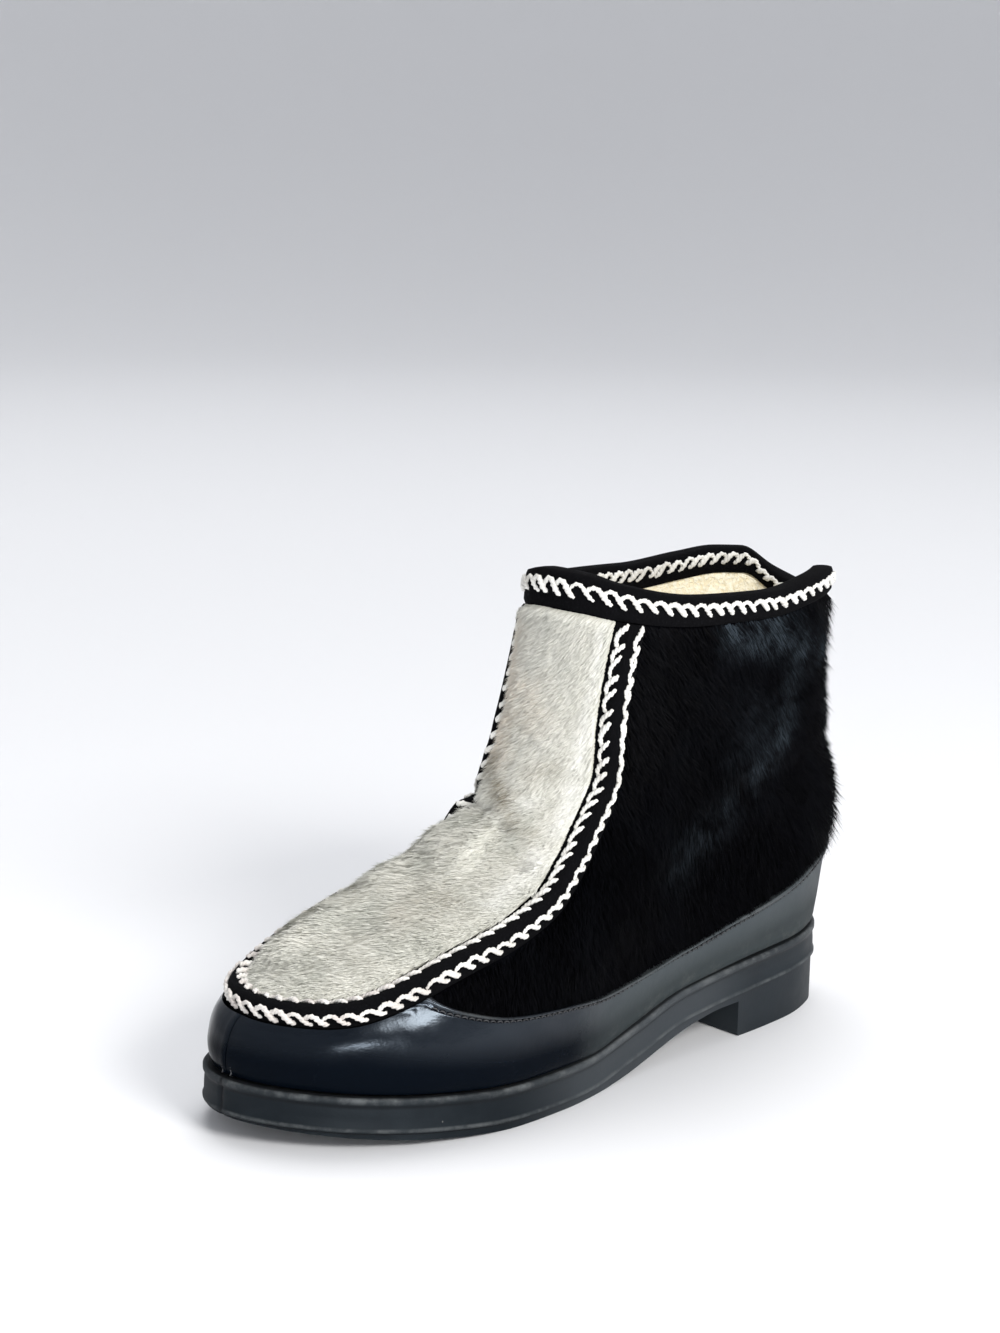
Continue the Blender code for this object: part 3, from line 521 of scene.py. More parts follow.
def side_grid(side):
    """Turn and rise of each grid point on one side, heel line to toe line."""
    path = PATHS[side]
    corner = path.total * SEAM_CORNER
    half = TAPE_WIDTH / 2
    offsets = np.linspace(-half, half, TAPE_CELLS + 1)
    turn = np.zeros((HALF + 1, ROWS))
    rise = np.zeros((HALF + 1, ROWS))

    # The corner where the tape turns from the toe to the side.
    across, up = np.meshgrid(offsets, offsets, indexing="ij")
    t, r = path.beside(corner + (up - across), np.minimum(across, up))
    turn[FIRST:LAST + 1, TAPE_ROW:INNER_ROW + 1] = t
    rise[FIRST:LAST + 1, TAPE_ROW:INNER_ROW + 1] = r

    # Across the tape at the toe.
    share = (np.arange(1, FRONT_CELLS + 1) / FRONT_CELLS)[:, None]
    t, r = path.beside((corner + offsets[None] - half) * (1 - share), offsets[None])
    t[-1] = 1.0
    turn[LAST + 1:, TAPE_ROW:INNER_ROW + 1] = t
    rise[LAST + 1:, TAPE_ROW:INNER_ROW + 1] = r

    # Across the tape up the side.
    end = path.length_at(COLLAR_RISE)
    share = (np.arange(1, SHAFT_ROWS + 1) / SHAFT_ROWS)[None]
    lean = np.maximum(1 - 2.2 * share, 0.0)
    start = corner + (half - offsets)[:, None]
    even = corner + (end - corner) * share
    length = even + (start + (end - start) * share - even) * lean
    t, r = path.beside(length, offsets[:, None])
    r[:, -1] = COLLAR_RISE
    turn[FIRST:LAST + 1, INNER_ROW + 1:COLLAR_ROW + 1] = t
    rise[FIRST:LAST + 1, INNER_ROW + 1:COLLAR_ROW + 1] = r

    # The leather band below the tape.
    share = (np.arange(BAND_ROWS) / BAND_ROWS)[None]
    turn[FIRST:, :BAND_ROWS] = turn[FIRST:, TAPE_ROW:TAPE_ROW + 1]
    rise[FIRST:, :BAND_ROWS] = rise[FIRST:, TAPE_ROW:TAPE_ROW + 1] * share

    # Heel line to tape.
    heel = 0.0 if side > 0 else 2.0
    edge_turn = turn[FIRST, INNER_ROW]
    edge_rise = rise[FIRST, INNER_ROW]
    share = (np.arange(SIDE_CELLS) / SIDE_CELLS)[:, None]
    here = heel + (turn[FIRST] - heel)[None] * share
    band = band_top(here, edge_turn, edge_rise, side)
    low = band * (rise[FIRST] / edge_rise)[None]
    climb = (rise[FIRST] - edge_rise) / (COLLAR_RISE - edge_rise)
    high = band + (COLLAR_RISE - band) * climb[None]
    below = (np.arange(ROWS) <= INNER_ROW)[None]
    turn[:FIRST] = here
    rise[:FIRST] = np.where(below, low, high)

    # Tape to front line.
    toe_rise = rise[HALF, INNER_ROW]
    start_rise = rise[LAST, INNER_ROW]
    climb = (rise[LAST] - start_rise) / (COLLAR_RISE - start_rise)
    front = np.minimum(toe_rise + (COLLAR_RISE - toe_rise) * climb, COLLAR_RISE)
    share = (np.arange(1, FRONT_CELLS + 1) / FRONT_CELLS)[:, None]
    eased = share * (2 - share) * 0.5 + share * 0.5
    rows = slice(INNER_ROW + 1, COLLAR_ROW + 1)
    turn[LAST + 1:, rows] = turn[LAST, rows][None] + (1.0 - turn[LAST, rows])[None] * share
    climb = (front - rise[LAST])[None, rows]
    rise[LAST + 1:, rows] = rise[LAST, rows][None] + climb * eased

    # Under the collar's tape.
    for k in range(1, COLLAR_ROWS + 1):
        turn[:, COLLAR_ROW + k] = turn[:, COLLAR_ROW]
        rise[:, COLLAR_ROW + k] = COLLAR_RISE + (1 - COLLAR_RISE) * k / COLLAR_ROWS
    return turn, rise


def along_lines(table, points):
    """A table's amounts over points, each fading away from its own line."""
    amount = np.zeros(points.shape[:-1])
    fine = 25
    for t0, r0, t1, r1, width, most in table:
        line = skin(np.linspace(t0, t1, fine), np.linspace(r0, r1, fine))
        away = points[..., None, :] - line
        gap = np.sqrt(np.sum(away * away, axis=-1))
        nearest = gap.min(axis=-1)
        where = gap.argmin(axis=-1) / (fine - 1)
        ends = np.clip(np.minimum(where, 1 - where) * 5, 0.0, 1.0)
        amount += most * np.exp(-((nearest / width) ** 2)) * ends * ends * (3 - 2 * ends)
    return amount


def ripple(points, size, seed):
    """A smooth uneven height between -1 and 1 over points in space."""
    rng = np.random.default_rng(seed)
    value = np.zeros(points.shape[:-1])
    for k in range(7):
        direction = rng.normal(size=3)
        direction = direction / np.linalg.norm(direction) * (0.7 + 0.6 * rng.random())
        value += np.sin(points @ direction * (2 * math.pi / size) + rng.random() * 6.3)
    return value / 3.5


# The grid over the boot: where each point is on the skin, its outward
# direction, and the base that lies under the leather and the fur, folds and all.
OUTER_GRID = side_grid(1)
INNER_GRID = side_grid(-1)
TURN = np.concatenate((OUTER_GRID[0], INNER_GRID[0][-2:0:-1]))
RISE = np.concatenate((OUTER_GRID[1], INNER_GRID[1][-2:0:-1]))
NORMAL = outward(TURN, RISE)
SURFACE = skin(TURN, RISE)
BASE = SURFACE - NORMAL * (COVER + GAP)
BASE[:, 0, 2] = sole_top(BASE[:, 0, 0])
SINK = along_lines(FOLDS, SURFACE) + 0.0004 * ripple(SURFACE, 0.045, 3)
SINK = SINK * np.clip(RISE / 0.05, 0, 1) * np.clip((COLLAR_RISE - RISE) / 0.04, 0.0, 1)
BASE = BASE - unit(NORMAL) * SINK[..., None]
NEAR = np.minimum(np.arange(COLUMNS), COLUMNS - np.arange(COLUMNS))
REST_SHIFT = np.array((REST, 0.0, 0.0))


def lifted(height):
    """The grid's points at a height above the base."""
    points = BASE + NORMAL * np.broadcast_to(height, TURN.shape)[..., None]
    points[:, 0, 2] = sole_top(points[:, 0, 0])
    return points


def placed(name, data):
    """An object of the scene, at the origin, that holds this data."""
    made = bpy.data.objects.new(name, data)
    bpy.context.scene.collection.objects.link(made)
    return made


def new_mesh(name, points, faces, finish, sharp=None):
    """An object at the origin from points measured from the sole's back."""
    mesh = bpy.data.meshes.new(name)
    mesh.from_pydata((np.asarray(points) - REST_SHIFT).tolist(), [], faces)
    body = bmesh.new()
    body.from_mesh(mesh)
    bmesh.ops.recalc_face_normals(body, faces=body.faces)
    body.to_mesh(mesh)
    body.free()
    mesh.shade_smooth()
    if sharp:
        mesh.set_sharp_from_angle(angle=math.radians(sharp))
    mesh.update()
    if finish:
        mesh.materials.append(finish)
    return placed(name, mesh)


def worked_mesh(thing):
    """The plain mesh of an object, with its modifiers carried out."""
    shown = bpy.context.evaluated_depsgraph_get()
    return bpy.data.meshes.new_from_object(thing.evaluated_get(shown), depsgraph=shown)


def ring_faces(rings, ring):
    """Quads from ring to ring of points that are counted round and then on."""
    faces = []
    for start in range(0, (rings - 1) * ring, ring):
        for k in range(start, start + ring):
            n = start + (k - start + 1) % ring
            faces.append((k, n, n + ring, k + ring))
    return faces


def keep(piece, slot, *nodes):
    """Puts a piece on the boot, in the place of the named solids."""
    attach(piece, "root")
    if nodes:
        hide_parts(*nodes)


def carry(piece, **values):
    """Keeps numbers of each point on the mesh, for its material."""
    for name, numbers in values.items():
        layer = piece.data.attributes.new(name, "FLOAT", "POINT")
        layer.data.foreach_set("value", np.asarray(numbers, np.float32))


def numbered(used):
    """A number for each used point of the grid, counted from 0."""
    index = -np.ones(used.shape, int)
    index[used] = np.arange(used.sum())
    return index


def grid_piece(name, cells, low, high, finish, trim=0.0002, every=1, **values):
    """A closed piece over some cells of the grid, between two heights.

    cells is a true or false for each cell, and trim is how far the piece's
    edge is drawn in. every is how many cells of the grid make one of the
    piece. values are further numbers of each grid point, kept on the mesh
    for the material.
    """
    bottom = lifted(low)[::every, ::every]
    top = lifted(high)[::every, ::every]
    normal = NORMAL[::every, ::every]
    cells = cells[::every, ::every]
    columns = len(bottom)
    used = np.zeros(bottom.shape[:2], bool)
    loops = []
    edges = {}
    for i, j in zip(*np.nonzero(cells)):
        i, j = int(i), int(j)
        n = (i + 1) % columns
        loop = ((i, j), (n, j), (n, j + 1), (i, j + 1))
        loops.append(loop)
        for a, b in zip(loop, loop[1:] + loop[:1]):
            used[a] = True
            if (b, a) in edges:
                del edges[b, a]
            else:
                edges[a, b] = loop
    shift = {}
    for (a, b), loop in edges.items():
        along = unit(top[b] - top[a])
        inward = unit(np.cross(normal[a], along))
        middle = sum(top[c] for c in loop) / 4
        if np.dot(inward, middle - top[a]) < 0:
            inward = -inward
        for key in (a, b):
            shift.setdefault(key, []).append(inward)
    for key, parts in shift.items():
        move = unit(sum(parts)) * trim
        if key[1] == 0:
            move = np.zeros(3)
        bottom[key] += move
        top[key] += move
    index = numbered(used)
    count = int(used.sum())
    points = np.concatenate((bottom[used], top[used]))
    faces = []
    for loop in loops:
        ring = tuple(int(index[key]) for key in loop)
        faces.append(ring)
        faces.append(tuple(k + count for k in ring))
    for a, b in edges:
        a, b = int(index[a]), int(index[b])
        faces.append((a, b, b + count, a + count))
    made = new_mesh(name, points, faces, finish, sharp=55)
    for key, value in values.items():
        carry(made, **{key: np.tile(value[::every, ::every][used], 2)})
    return made


# Materials.


class Nodes:
    """A node tree, built in a few words."""

    def __init__(self, tree):
        self.tree = tree

    def fill(self, node, inputs):
        """Values and links into a node's inputs."""
        for key, value in inputs.items():
            if isinstance(value, bpy.types.NodeSocket):
                self.tree.links.new(value, node.inputs[key])
            else:
                node.inputs[key].default_value = value

    def node(self, kind, inputs, **settings):
        """A node's outputs, once it has its settings and what goes into it."""
        made = self.tree.nodes.new(kind)
        for key, value in settings.items():
            setattr(made, key, value)
        self.fill(made, inputs)
        return made.outputs

    def sum(self, kind, a, b):
        """What a kind of sum makes of two values."""
        return self.node("ShaderNodeMath", {0: a, 1: b}, operation=kind)[0]

    def times(self, a, b):
        """The product of two values."""
        return self.sum("MULTIPLY", a, b)


def opaque(colour):
    """A plain colour with its fourth number, and any other as it is."""
    return (*colour, 1.0) if isinstance(colour, tuple) else colour


class Finish(Nodes):
    """A material and its nodes."""

    def __init__(self, name):
        self.material = bpy.data.materials.new(name)
        self.material.use_nodes = True
        super().__init__(self.material.node_tree)
        self.shader = self.tree.nodes["Principled BSDF"]
        self.place = self.node("ShaderNodeTexCoord", {})["Object"]

    def noise(self, scale, detail=3.0, rough=0.55, stretch=None, warp=0.0):
        """Noise on the boot's own coordinates, scale per metre."""
        place = self.place
        if stretch:
            inputs = {"Vector": place, "Scale": stretch}
            place = self.node("ShaderNodeMapping", inputs)["Vector"]
        return self.node("ShaderNodeTexNoise", {
            "Vector": place,
            "Scale": scale,
            "Detail": detail,
            "Roughness": rough,
            "Distortion": warp,
        })["Fac"]

    def kept(self, name):
        """A number kept on the mesh."""
        return self.node("ShaderNodeAttribute", {}, attribute_name=name)["Fac"]

    def along(self, axis):
        """The boot's own coordinate along an axis."""
        return self.node("ShaderNodeSeparateXYZ", {0: self.place})[axis]

    def step(self, value, low, high, bottom=0.0, top=1.0):
        """A smooth step of a value between low and high."""
        return self.node("ShaderNodeMapRange", {
            "Value": value,
            "From Min": low,
            "From Max": high,
            "To Min": bottom,
            "To Max": top,
        }, interpolation_type="SMOOTHSTEP")["Result"]

    def mix(self, share, first, second):
        """A colour between two colours."""
        inputs = {0: share, 6: opaque(first), 7: opaque(second)}
        return self.node("ShaderNodeMix", inputs, data_type="RGBA")[2]

    def bump(self, height, strength, distance, below=None):
        """A fine relief, laid over the one below it."""
        inputs = {"Height": height, "Strength": strength, "Distance": distance}
        if below is not None:
            inputs["Normal"] = below
        return self.node("ShaderNodeBump", inputs)["Normal"]

    def done(self, colour, rough, normal=None, **fixed):
        """The material, once its shader's sockets are set."""
        inputs = {"Base Color": opaque(colour), "Roughness": rough}
        if normal is not None:
            inputs["Normal"] = normal
        for key, value in fixed.items():
            inputs[key.replace("_", " ")] = value
        self.fill(self.shader, inputs)
        return self.material


def pale_hair_finish(name, skin_only):
    """Short pale fur, cream and grey, with soft grey and beige patches."""
    f = Finish(name)
    patch = f.step(f.noise(60.0, 5.0, 0.62, stretch=(1.0, 1.0, 0.7)), 0.36, 0.68)
    colour = f.mix(patch, (0.66, 0.65, 0.585), (0.51, 0.515, 0.455))
    clump = f.step(f.noise(240.0, 4.0, 0.7, warp=0.8), 0.42, 0.66)
    colour = f.mix(f.times(clump, 0.26), colour, (0.38, 0.38, 0.325))
    fleck = f.step(f.noise(520.0, 2.0, 0.7), 0.60, 0.72)
    colour = f.mix(f.times(fleck, 0.5), colour, (0.20, 0.19, 0.165))
    if skin_only:
        colour = f.mix(0.35, colour, (0.30, 0.29, 0.25))
    else:
        uneven = f.step(f.noise(130.0, 4.0, 0.65), 0.30, 0.62, 0.35, 1.0)
        # Painted shade: the fur is greyer up the shaft.
        shaft_shade = f.step(f.along("Z"), 0.080, 0.125, 0.0, 0.23)
        for share, tint in (
            (f.times(f.kept("beige"), uneven), (0.78, 0.655, 0.515)),
            # Brown stain with painted shade in the crease.
            (f.kept("crease_stain_and_shade"), (0.20, 0.165, 0.10)),
            (f.step(f.kept("tone"), 0.0, 1.0, 0.0, 0.50), (0.86, 0.85, 0.79)),
            (shaft_shade, (0.30, 0.295, 0.27)),
            # Painted shade at the roots of the hairs.
            (f.step(f.kept("tip"), 0.65, 0.0, 0.0, 0.60), (0.31, 0.30, 0.245)),
            # Painted highlight along the outer seam.
            (f.kept("lit"), (0.99, 0.99, 0.97)),
        ):
            colour = f.mix(share, colour, tint)
    return f.done(colour, 0.62, Specular_IOR_Level=0.25)


def dark_hair_finish(name, skin_only):
    """Dense black fur, with a cool sheen painted into its colour as a highlight."""
    f = Finish(name)
    patch = f.step(f.noise(45.0, 3.0), 0.45, 0.7)
    colour = f.mix(patch, (0.0005, 0.0005, 0.0008), (0.0015, 0.0017, 0.0024))
    if skin_only:
        return f.done(colour, 0.9, Specular_IOR_Level=0.010)
    tone = f.step(f.kept("tone"), 0.0, 1.0, 0.0, 0.5)
    colour = f.mix(tone, colour, (0.0026, 0.0028, 0.0040))
    uneven = f.step(f.noise(110.0, 5.0, 0.7), 0.34, 0.66, 0.05, 1.0)
    lock = f.step(f.kept("tone"), 0.15, 0.95, 0.25, 1.0)
    # Painted sheen: a cool highlight in the black fur's colour.
    sheen = f.times(f.times(f.kept("sheen"), uneven), lock)
    colour = f.mix(sheen, colour, (0.046, 0.060, 0.074))
    return f.done(colour, 0.50, Specular_IOR_Level=0.022)


def leather_finish():
    """Smooth blue-black leather, glossy at the toe, dull, dusty and paler toward the heel,
    partly painted light, with painted shade at the very back.
    """
    f = Finish("band_leather")
    x = f.along("X")
    cloud = f.noise(30.0, 4.0)
    drift = f.times(f.sum("SUBTRACT", cloud, 0.5), 0.5)
    # Paler grey toward the heel: partly dust and dullness, partly painted light.
    back = f.step(f.sum("ADD", f.step(x, 0.165, 0.075), drift), 0.15, 0.9)
    # Painted shade: darker at the very back of the heel.
    heel = f.step(x, -0.004, -0.030, 0.0, 0.55)
    worn = f.times(f.kept("fold"), f.step(cloud, 0.35, 0.7, 0.1, 0.55))
    speck = f.step(f.noise(160.0, 5.0, 0.7), 0.45, 0.75)
    dust = f.times(f.step(f.kept("dusty"), 0.0, 1.0), speck)
    colour = f.mix(back, (0.0013, 0.0024, 0.0045), (0.031, 0.037, 0.039))
    colour = f.mix(heel, colour, (0.009, 0.011, 0.012))
    colour = f.mix(worn, colour, (0.085, 0.088, 0.085))
    colour = f.mix(f.times(f.times(dust, back), 0.4), colour, (0.10, 0.10, 0.095))
    rub = f.step(f.noise(90.0, 5.0, 0.65), 0.4, 0.8)
    rough = f.sum("ADD", f.step(back, 0.0, 1.0, 0.185, 0.50), f.times(rub, 0.12))
    grain = f.node("ShaderNodeTexVoronoi", {"Vector": f.place, "Scale": 1500.0},
                   feature="SMOOTH_F1")
    normal = f.bump(grain["Distance"], 0.10, 0.0002)
    normal = f.bump(f.noise(70.0, 3.0), 0.18, 0.0016, normal)
    shine = f.step(f.kept("crown"), 0.30, 0.90, 0.030, 0.46)
    return f.done(colour, rough, normal, Specular_IOR_Level=shine,
                  Specular_Tint=(0.74, 0.86, 1.0, 1.0))


def rubber_finish():
    """Charcoal rubber, pale on its bead and line, partly rubbed and partly painted
    highlight, with dust, small scuffs, a painted lighter middle and painted groove shade.
    """
    f = Finish("sole_rubber")
    cloud = f.noise(28.0, 5.0, 0.6)
    x = f.along("X")
    # Painted light: lighter along the middle of the sole's length.
    middle = f.times(f.step(x, 0.02, 0.06), f.step(x, 0.165, 0.11))
    rub = f.step(f.noise(120.0, 4.0, 0.7), 0.38, 0.68, 0.18, 1.0)
    scuff = f.step(f.noise(75.0, 6.0, 0.75, stretch=(0.4, 0.4, 1.6), warp=0.6), 0.66, 0.76)
    chip = f.step(f.noise(190.0, 2.0, 0.5), 0.77, 0.80)
    patch = f.step(cloud, 0.35, 0.7)
    colour = f.mix(patch, (0.0058, 0.0080, 0.0102), (0.0125, 0.0162, 0.0196))
    for share, tint in (
        (f.times(middle, 0.7), (0.038, 0.043, 0.048)),
        # Pale bead and line: partly rubbed, partly a painted highlight.
        (f.times(f.kept("worn"), rub), (0.088, 0.094, 0.096)),
        (f.times(scuff, 0.45), (0.17, 0.17, 0.16)),
        (chip, (0.45, 0.44, 0.41)),
        # Painted shade in the sole's grooves, at its top edge and under its side band, with
        # the dark mould seam at the toe.
        (f.kept("groove"), (0.008, 0.008, 0.009)),
    ):
        colour = f.mix(share, colour, tint)
    rough = f.step(cloud, 0.3, 0.75, 0.42, 0.66)
    normal = f.bump(f.noise(900.0, 3.0, 0.6), 0.16, 0.0003)
    normal = f.bump(f.noise(55.0, 3.0), 0.12, 0.0012, normal)
    shine = f.step(x, 0.11, 0.18, 0.19, 0.095)
    return f.done(colour, rough, normal, Specular_IOR_Level=shine,
                  Specular_Tint=(0.85, 0.93, 1.0, 1.0))


def tape_finish():
    """Black woven tape with a fine rib."""
    f = Finish("braid_tape")
    grain = f.noise(1400.0, 2.0, 0.6, stretch=(1.0, 1.0, 0.35))
    colour = f.mix(grain, (0.0010, 0.0010, 0.0013), (0.0040, 0.0040, 0.0048))
    normal = f.bump(grain, 0.5, 0.0004)
    return f.done(colour, 0.92, normal, Specular_IOR_Level=0.045)


def yarn_finish():
    """White wool yarn, a little grubby."""
    f = Finish("white_yarn")
    grub = f.step(f.noise(110.0, 3.0), 0.40, 0.70, 0.0, 0.65)
    colour = f.mix(grub, (0.75, 0.74, 0.70), (0.48, 0.46, 0.42))
    scruff = f.step(f.noise(170.0, 4.0, 0.65), 0.32, 0.62, 0.1, 0.65)
    toe = f.times(f.step(f.along("X"), 0.150, 0.215), scruff)
    colour = f.mix(toe, colour, (0.50, 0.44, 0.41))
    lint = f.noise(2600.0, 2.0, 0.6)
    normal = f.bump(lint, 0.6, 0.0003)
    return f.done(colour, 0.85, normal, Sheen_Weight=0.2)


def fleece_finish():
    """Cream pile lining in small curls."""
    f = Finish("fleece")
    curl = f.noise(420.0, 3.0, 0.6, warp=1.2)
    colour = f.mix(f.step(curl, 0.3, 0.7), (0.90, 0.79, 0.54), (1.0, 0.96, 0.80))
    normal = f.bump(curl, 0.9, 0.0014)
    return f.done(colour, 0.95, normal, Sheen_Weight=0.4, Sheen_Roughness=0.5)


def thread_finish():
    """Waxed black thread."""
    f = Finish("black_thread")
    colour = f.mix(f.noise(900.0, 2.0), (0.010, 0.010, 0.012), (0.032, 0.033, 0.036))
    return f.done(colour, 0.5)


PALE_SKIN = pale_hair_finish("pale_hide", True)
PALE_HAIR_FINISH = pale_hair_finish("pale_fur", False)
DARK_SKIN = dark_hair_finish("dark_hide", True)
DARK_HAIR_FINISH = dark_hair_finish("dark_fur", False)
LEATHER = leather_finish()
RUBBER = rubber_finish()
TAPE = tape_finish()
WHITE_YARN = yarn_finish()
FLEECE = fleece_finish()
THREAD = thread_finish()


# Geometry Nodes trees for what repeats.


class Growth(Nodes):
    """A Geometry Nodes tree with named sizes and a finish."""

    def __init__(self, name, **sizes):
        super().__init__(bpy.data.node_groups.new(name, "GeometryNodeTree"))
        sockets = self.tree.interface
        sizes = {"Geometry": "Geometry", **sizes, "Finish": "Material"}
        for label, kind in sizes.items():
            label = label.replace("_", " ")
            sockets.new_socket(label, in_out="INPUT", socket_type="NodeSocket" + kind)
        sockets.new_socket("Geometry", in_out="OUTPUT", socket_type="NodeSocketGeometry")
        self.given = self.tree.nodes.new("NodeGroupInput").outputs

    def kept(self, name, kind):
        """Numbers kept on the skin."""
        named = self.node("GeometryNodeInputNamedAttribute", {"Name": name}, data_type=kind)
        return named["Attribute"]

    def scaled(self, vector, size):
        """A vector made longer or shorter."""
        inputs = {0: vector, "Scale": size}
        return self.node("ShaderNodeVectorMath", inputs, operation="SCALE")[0]

    def plus(self, a, b):
        """Two vectors together."""
        return self.node("ShaderNodeVectorMath", {0: a, 1: b})[0]

    def planted(self, points, thing, rotation, **inputs):
        """A thing set down on every point."""
        shape = self.node("GeometryNodeObjectInfo", {"Object": thing})["Geometry"]
        inputs = {"Points": points, "Instance": shape, "Rotation": rotation, **inputs}
        return self.node("GeometryNodeInstanceOnPoints", inputs)["Instances"]

    def real(self, planted):
        """What was set down, as one plain mesh."""
        return self.node("GeometryNodeRealizeInstances", {"Geometry": planted})["Geometry"]

    def finished(self, geometry):
        """The tree, once its geometry has the finish and is handed out."""
        inputs = {"Geometry": geometry, "Material": self.given["Finish"]}
        coat = self.node("GeometryNodeSetMaterial", inputs)
        self.node("NodeGroupOutput", {"Geometry": coat["Geometry"]})
        return self.tree


def fur_tree():
    """Scatters hairs over a skin, laid along its nap."""
    g = Growth("fur", Hair="Object", Hairs_per_square_metre="Float", Length="Float",
               Width="Float", Lift="Float", Ruffle="Float", Clumps_per_metre="Float",
               Clumping="Float", Seed="Int")
    given = g.given
    spread = g.node("GeometryNodeDistributePointsOnFaces", {
        "Mesh": given["Geometry"],
        "Density": given["Hairs per square metre"],
        "Seed": given["Seed"],
    })
    stray = g.node("FunctionNodeRandomValue", {
        "Min": (-1.0, -1.0, -1.0),
        "Max": (1.0, 1.0, 1.0),
        "Seed": given["Seed"],
    }, data_type="FLOAT_VECTOR")
    clump = g.node("ShaderNodeTexNoise", {
        "Scale": given["Clumps per metre"],
        "Detail": 1.0,
    })
    centred = g.node("ShaderNodeVectorMath", {0: clump["Color"], 1: (0.5, 0.5, 0.5)},
                     operation="SUBTRACT")[0]
    way = g.plus(g.kept("nap", "FLOAT_VECTOR"), g.scaled(centred, given["Clumping"]))
    way = g.plus(way, g.scaled(spread["Normal"], given["Lift"]))
    way = g.plus(way, g.scaled(stray["Value"], given["Ruffle"]))

    lay = g.node("FunctionNodeAlignRotationToVector", {"Vector": way}, axis="Z")
    face = g.node("FunctionNodeAlignRotationToVector", {
        "Rotation": lay["Rotation"],
        "Vector": spread["Normal"],
    }, axis="Y", pivot_axis="Z")

    vary = g.node("FunctionNodeRandomValue", {"Min": 0.62, "Max": 1.12}, data_type="FLOAT")
    long = g.times(g.times(vary["Value"], given["Length"]), g.kept("growth", "FLOAT"))
    size = g.node("ShaderNodeCombineXYZ", {"X": given["Width"], "Y": long, "Z": long})[0]

    hairs = g.planted(spread["Points"], given["Hair"], face["Rotation"], Scale=size)
    shade = g.node("FunctionNodeRandomValue", {"Seed": 5}, data_type="FLOAT")
    toned = g.node("GeometryNodeStoreNamedAttribute", {
        "Name": "tone",
        "Geometry": hairs,
        "Value": shade["Value"],
    }, data_type="FLOAT", domain="INSTANCE")
    return g.finished(g.real(toned["Geometry"]))


def thread_tree():
    """A round thread along each curve, as thick as the curve says."""
    g = Growth("thread", Sides="Int")
    ring = g.node("GeometryNodeCurvePrimitiveCircle", {
        "Radius": 1.0,
        "Resolution": g.given["Sides"],
    })
    sweep = g.node("GeometryNodeCurveToMesh", {
        "Curve": g.given["Geometry"],
        "Profile Curve": ring["Curve"],
        "Scale": g.node("GeometryNodeInputRadius", {})["Radius"],
        "Fill Caps": True,
    })
    smooth = g.node("GeometryNodeSetShadeSmooth", {"Geometry": sweep["Mesh"]})
    return g.finished(smooth["Geometry"])


def stitch_tree():
    """Stitches set one after another along each curve."""
    g = Growth("stitches", Stitch="Object", Spacing="Float")
    even = g.node("GeometryNodeResampleCurve", {
        "Curve": g.given["Geometry"],
        "Length": g.given["Spacing"],
    }, mode="LENGTH")
    way = g.node("GeometryNodeInputTangent", {})["Tangent"]
    turn = g.node("FunctionNodeAlignRotationToVector", {"Vector": way}, axis="X")
    stitches = g.planted(even["Curve"], g.given["Stitch"], turn["Rotation"])
    return g.finished(g.real(stitches))


FUR_TREE = fur_tree()
THREAD_TREE = thread_tree()
STITCH_TREE = stitch_tree()


def grown(source, tree, name, **inputs):
    """The plain mesh that a tree makes from an object, which is then removed."""
    work = source.modifiers.new("Growth", "NODES")
    work.node_group = tree
    for item in tree.interface.items_tree:
        if item.in_out == "INPUT" and item.name in inputs:
            work[item.identifier] = inputs[item.name]
    mesh = worked_mesh(source)
    mesh.name = name
    bpy.data.objects.remove(source, do_unlink=True)
    return placed(name, mesh)


def curves(name, lines):
    """One curve object holding a poly line for each list of points."""
    data = bpy.data.curves.new(name, "CURVE")
    data.dimensions = "3D"
    for points, radius in lines:
        line = data.splines.new("POLY")
        line.points.add(len(points) - 1)
        flat = np.concatenate((points - REST_SHIFT, np.ones((len(points), 1))), axis=1)
        line.points.foreach_set("co", flat.ravel())
        wide = np.broadcast_to(radius, len(points)).astype(np.float32)
        line.points.foreach_set("radius", wide)
    return placed(name, data)


def hair_shape():
    """One hair along +Z, a metre long and wide until it is scaled, with its tip marked."""
    points = [(-0.5, 0, 0), (0.5, 0, 0)]
    points += [(-0.36, -0.03, 0.55), (0.36, -0.03, 0.55), (0, -0.1, 1)]
    mesh = bpy.data.meshes.new("hair")
    mesh.from_pydata(points, [], [(0, 1, 3), (0, 3, 2), (2, 3, 4)])
    made = placed("hair", mesh)
    carry(made, tip=(0.0, 0.0, 0.55, 0.55, 1.0))
    return made


HAIR = hair_shape()


